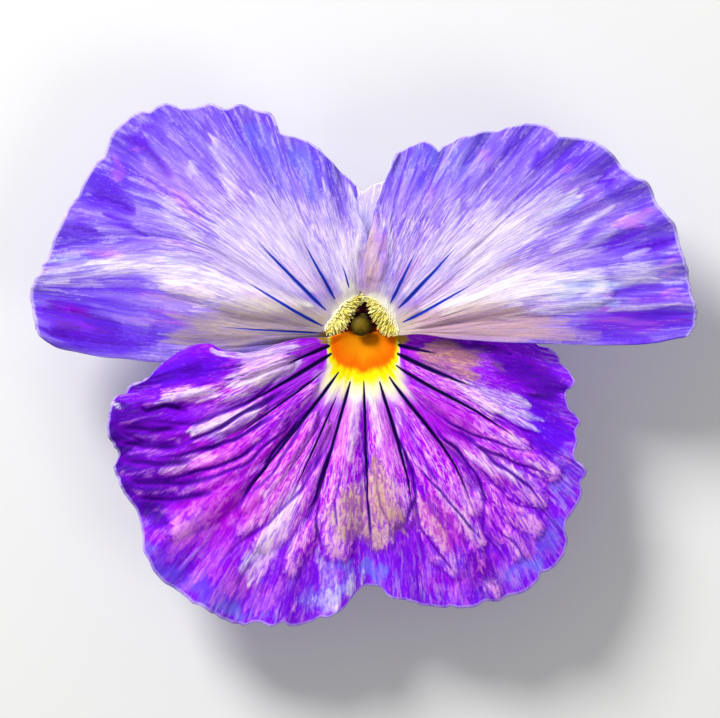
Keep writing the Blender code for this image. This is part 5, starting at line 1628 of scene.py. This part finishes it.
# %% Stamens
STAMENS, FIRST_STAMEN, STAMEN_RING = 5, 126, 1.0
pollen = soft_flesh("pollen_sac", linear(240, 214, 120), linear(214, 176, 84), 2500.0)
orange = soft_flesh("anther_scale", linear(214, 120, 20), linear(176, 84, 10), 2500.0)
FILAMENT_ROUTE = [(0, 0, 4.45), (0.02, 0, 4.8), (0.02, 0, 5.2)]
filament = tube_along("filament", FILAMENT_ROUTE, [0.14, 0.13, 0.12], 8, pollen)
sacs = [ball("sac", (-0.03, side * 0.13, 6.0), (0.13, 0.12, 0.92), pollen, 14, 16) for side in (-1, 1)]
back = ball("back", (0.06, 0, 6.1), (0.1, 0.2, 1.05), orange, 14, 14)
top_scale = ball("scale", (-0.08, 0, 7.12), (0.09, 0.22, 0.4), orange, 14, 12)
model = join_pieces("stamen", [filament, *sacs, back, top_scale])
for number in range(STAMENS):
    turn = math.radians(FIRST_STAMEN + 360 / STAMENS * number)
    copy = copy_of(model)
    copy.name = copy.data.name = f"stamen_{number + 1}_detail"
    copy.location = (float(AXIS[0] + STAMEN_RING * math.cos(turn)) * MM,
                     float(AXIS[1] + STAMEN_RING * math.sin(turn)) * MM, 0)
    copy.rotation_euler = (0, 0, turn)
    settle(copy)
    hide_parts(f"stamen_{number + 1}")
bpy.data.objects.remove(model)

# %% [markdown]
# ## The sepals
# Five pointed sepals clasp the flower from behind. Each is a thin cupped blade with a midrib,
# fine side veins and a fringed edge, and runs on below its seat as a small ear. A grid primitive
# takes that shape, and Solidify finishes it.

# %% The sepals' green
def green_blade():
    made, tree, shader = new_material("sepal_green", 0.5, specular=0.25)
    across, up = place_and_row(tree)
    off = math_of(tree, "ABSOLUTE", math_of(tree, "SUBTRACT", across, 0.5))
    patch = ramp(tree, noise(tree, object_place(tree), 700.0, 4.0), 0.35, 0.65)
    side_vein = math_of(tree, "SINE", scaled(tree, off, -40.0, times(tree, up, 90.0)))
    rib = ramp(tree, off, 0.02, 0.07, 1.0, 0.0)
    colour = mix(tree, patch, linear(96, 142, 62), linear(66, 116, 46))
    colour = mix(tree, ramp(tree, side_vein, 0.6, 1.0, 0.0, 0.45), colour, linear(138, 176, 92))
    colour = mix(tree, rib, colour, linear(150, 184, 104))
    colour = mix(tree, ramp(tree, off, 0.44, 0.5, 0.0, 0.8), colour, linear(176, 190, 140))
    colour = mix(tree, ramp(tree, up, 0.9, 1.0, 0.0, 0.7), colour, linear(120, 84, 96))
    height = math_of(tree, "ADD", times(tree, rib, 0.6), times(tree, side_vein, 0.12))
    dress(tree, shader, colour, height, 0.08)
    return made


# %% Sepals
SEPAL_ANGLES = (90, 18, -54, -126, 162)
SEPAL_WIDTH, SEPAL_THICKNESS = 4.0, 0.36
SPINE_SHARES = [0, 0.14, 0.25, 0.48, 1]
LOW_ENDS, HIGH_ENDS = (4.0, 1.0), (5.6, 6.6)
HALF_WIDTHS = np.array([[0.4], [0.62], [0.55], [0.95], [0.8], [0.42], [0.05]])
WIDTH_SHARES = [0, 0.14, 0.25, 0.5, 0.75, 0.92, 1]


def make_sepal(number, degrees, finish):
    """A blade out from the axis; those under the back petals lie lower than the other two."""
    piece, across, run = grid_piece(f"sepal_{number}_blade", 14, 60)
    share = across - 0.5
    middle_height, tip_height = LOW_ENDS if degrees in (90, 18, 162) else HIGH_ENDS
    knots = [(3.9, 2.3), (3.55, 3.6), (3.85, 4.4), (5.6, middle_height), (11.15, tip_height)]
    spine = through(knots, SPINE_SHARES, run)
    ahead = (through(knots, SPINE_SHARES, np.clip(run + 0.01, 0, 1))
             - through(knots, SPINE_SHARES, np.clip(run - 0.01, 0, 1)))
    ahead /= np.linalg.norm(ahead, axis=1)[:, None]
    normal = np.column_stack([ahead[:, 1], -ahead[:, 0]])
    wide = through(HALF_WIDTHS, WIDTH_SHARES, run)[:, 0]
    fringe = 1 + 0.05 * np.sin(60 * run + number) * (2 * np.abs(share)) ** 4
    inset = 0.12 - 0.1 * np.exp(-(share / 0.05) ** 2) + 0.02 * np.sin(45 * run - 22 * np.abs(share))
    cupped = spine + (inset + 0.3 * (2 * share) ** 2)[:, None] * normal
    angle = math.radians(degrees)
    out, side = np.array([math.cos(angle), math.sin(angle)]), np.array([-math.sin(angle), math.cos(angle)])
    flat = AXIS + np.outer(cupped[:, 0], out) + np.outer(share * SEPAL_WIDTH * wide * fringe, side)
    move_points(piece.data, np.column_stack([flat, cupped[:, 1]]))
    piece.data.materials.append(finish)
    return thicken(piece, SEPAL_THICKNESS)


sepal_green = green_blade()
for number, degrees in enumerate(SEPAL_ANGLES, start=1):
    piece = settle(make_sepal(number, degrees, sepal_green))
    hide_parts(f"sepal_{number}")

# %% [markdown]
# ## Stalk, cup and spur
# The stalk bends behind the flower and lies along the table. It is a round tube with a cup that
# holds the petals' claws, and carries two small scales. The lower petal runs on behind as a
# nectar spur.

# %% The stalk's green
def stalk_finish():
    made, tree, shader = new_material("stalk_green", 0.45, specular=0.3)
    spot = object_place(tree)
    lengthwise = add(tree, "Mapping", None, Vector=spot, Scale=(900.0, 160.0, 900.0)).outputs[0]
    patch = noise(tree, lengthwise, 1.0, 4.0)
    blush = ramp(tree, noise(tree, spot, 300.0, 2.0), 0.55, 0.75, 0.0, 0.4)
    _, upward, height = add(tree, "SeparateXYZ", None, Vector=spot).outputs
    inside = times(tree, ramp(tree, height, 0.0038, 0.0042), ramp(tree, upward, 0.0, 0.001))
    colour = mix(tree, ramp(tree, patch, 0.35, 0.65), linear(124, 158, 74), linear(88, 128, 54))
    colour = mix(tree, blush, colour, linear(120, 92, 92))
    colour = mix(tree, inside, colour, throat_depth(tree))
    dress(tree, shader, colour, patch, 0.06)
    return made


# %% Stalk
STALK_RADIUS, CUP_TOP = 0.9, 4.4
STALK_ROUTE = along(at_axis([(0.0, 0.0, 3.9), (0.2, -0.3, 2.6), (1.3, -1.6, 1.3), (2.5, -4.6, 0.93),
                             (2.3, -9.0, 0.9), (1.2, -14.0, 0.9), (0.5, -18.5, 0.9), (0.3, -22.5, 0.9)]),
                    np.linspace(0, 1, 90))
LEAFLET = ((0.0, 0.7, 1.1), (0.7, 0.4, 1.2), (1.3, -0.1, 1.2), (1.8, -0.8, 1.1), (2.2, -1.4, 1.0))
LEAFLET_RADII = [0.42, 0.44, 0.38, 0.25, 0.08]
stalk_green = stalk_finish()
stem = tube_along("stem", STALK_ROUTE, [STALK_RADIUS] * len(STALK_ROUTE), 24, stalk_green)
cup = ball("cup", (*AXIS, 4.3), (3.0, 3.0, 1.5), stalk_green, 40, 24)
for point in cup.data.vertices:
    point.co.z = min(point.co.z, CUP_TOP * MM)
leaflets = [tube_along("scale", at_axis([(x + side * out, y + ahead, z) for out, ahead, z in LEAFLET]),
                       LEAFLET_RADII, 12, stalk_green) for side, x, y in ((-1, 2.0, -10.6), (1, 1.65, -12.0))]
stalk = join_pieces("stalk_detail", [stem, cup, *leaflets])
settle(stalk)
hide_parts("stalk")
print("stalk in mm:", round(float(lengths(STALK_ROUTE)[-1]), 1))

# %% Spur
SPUR_KNOTS, SPUR_RADIUS = 30, 1.05
spur_shares = np.linspace(0, 1, SPUR_KNOTS)
SPUR_ROUTE = along(at_axis([(0, -1.95, 6.9), (0, -3.2, 6.7), (0, -4.5, 5.6), (0, -5.0, 4.0), (0, -4.9, 2.4)]),
                   spur_shares)
spur_radii = SPUR_RADIUS * np.interp(spur_shares, [0, 0.12, 0.25, 0.7, 0.85, 0.95, 1],
                                     [0.8, 0.9, 1, 1, 0.9, 0.65, 0.3])
spur_finish = soft_flesh("spur_violet", linear(206, 190, 240), linear(160, 130, 224), 600.0)
spur = tube_along("spur", SPUR_ROUTE, spur_radii, 32, spur_finish)
settle(spur)

# %% [markdown]
# ## The studio
# A pale floor, a bright even sky, a soft lamp at the upper left and a weak one opposite show the
# colours without hard shadows.
# The camera looks straight down through a long lens, as the flower faces it. The Standard view
# keeps the petals' strong colours; the default view would wash them out.

# %% Floor and sky
FLOOR_SIZE, FLOOR_HEIGHT, SKY_STRENGTH = 2.0, -0.02, 0.36
deselect()
bpy.ops.mesh.primitive_plane_add(size=FLOOR_SIZE, location=(0, 0, FLOOR_HEIGHT * MM))
floor = bpy.context.object
floor.name = "floor"
floor_finish, floor_tree, floor_shader = new_material("floor_pale", 0.85, specular=0.1)
tone = noise(floor_tree, object_place(floor_tree), 3.0, 2.0)
dress(floor_tree, floor_shader, mix(floor_tree, tone, linear(226, 226, 224), linear(220, 220, 219)))
floor.data.materials.append(floor_finish)

world = bpy.data.worlds.new("studio_sky")
bpy.context.scene.world = world
world.use_nodes = True
world.node_tree.nodes["Background"].inputs["Color"].default_value = (1, 1, 1, 1)
world.node_tree.nodes["Background"].inputs["Strength"].default_value = SKY_STRENGTH

# %% Lamps and camera
FRAME_WIDTH, CAMERA_HEIGHT, PETAL_HEIGHT = 0.072, 0.6, 0.011
SENSOR_WIDTH = 36


def soft_lamp(name, place, size, power):
    deselect()
    bpy.ops.object.light_add(type="AREA", location=place)
    lamp = bpy.context.object
    lamp.name = name
    lamp.data.shape = "DISK"
    lamp.data.size = size
    lamp.data.energy = power
    lamp.rotation_euler = (-Vector(place)).to_track_quat("-Z", "Y").to_euler()


soft_lamp("key_lamp", (-0.26, 0.34, 0.32), 0.2, 3.6)
soft_lamp("fill_lamp", (0.3, -0.25, 0.45), 0.3, 0.65)
deselect()
bpy.ops.object.camera_add(location=(-0.0004, 0.0007, CAMERA_HEIGHT), rotation=(0, 0, 0))
camera = bpy.context.object
camera.data.sensor_width = SENSOR_WIDTH
camera.data.lens = SENSOR_WIDTH * (CAMERA_HEIGHT - PETAL_HEIGHT) / FRAME_WIDTH
camera.data.dof.use_dof = False
bpy.context.scene.camera = camera
bpy.context.scene.view_settings.view_transform = "Standard"
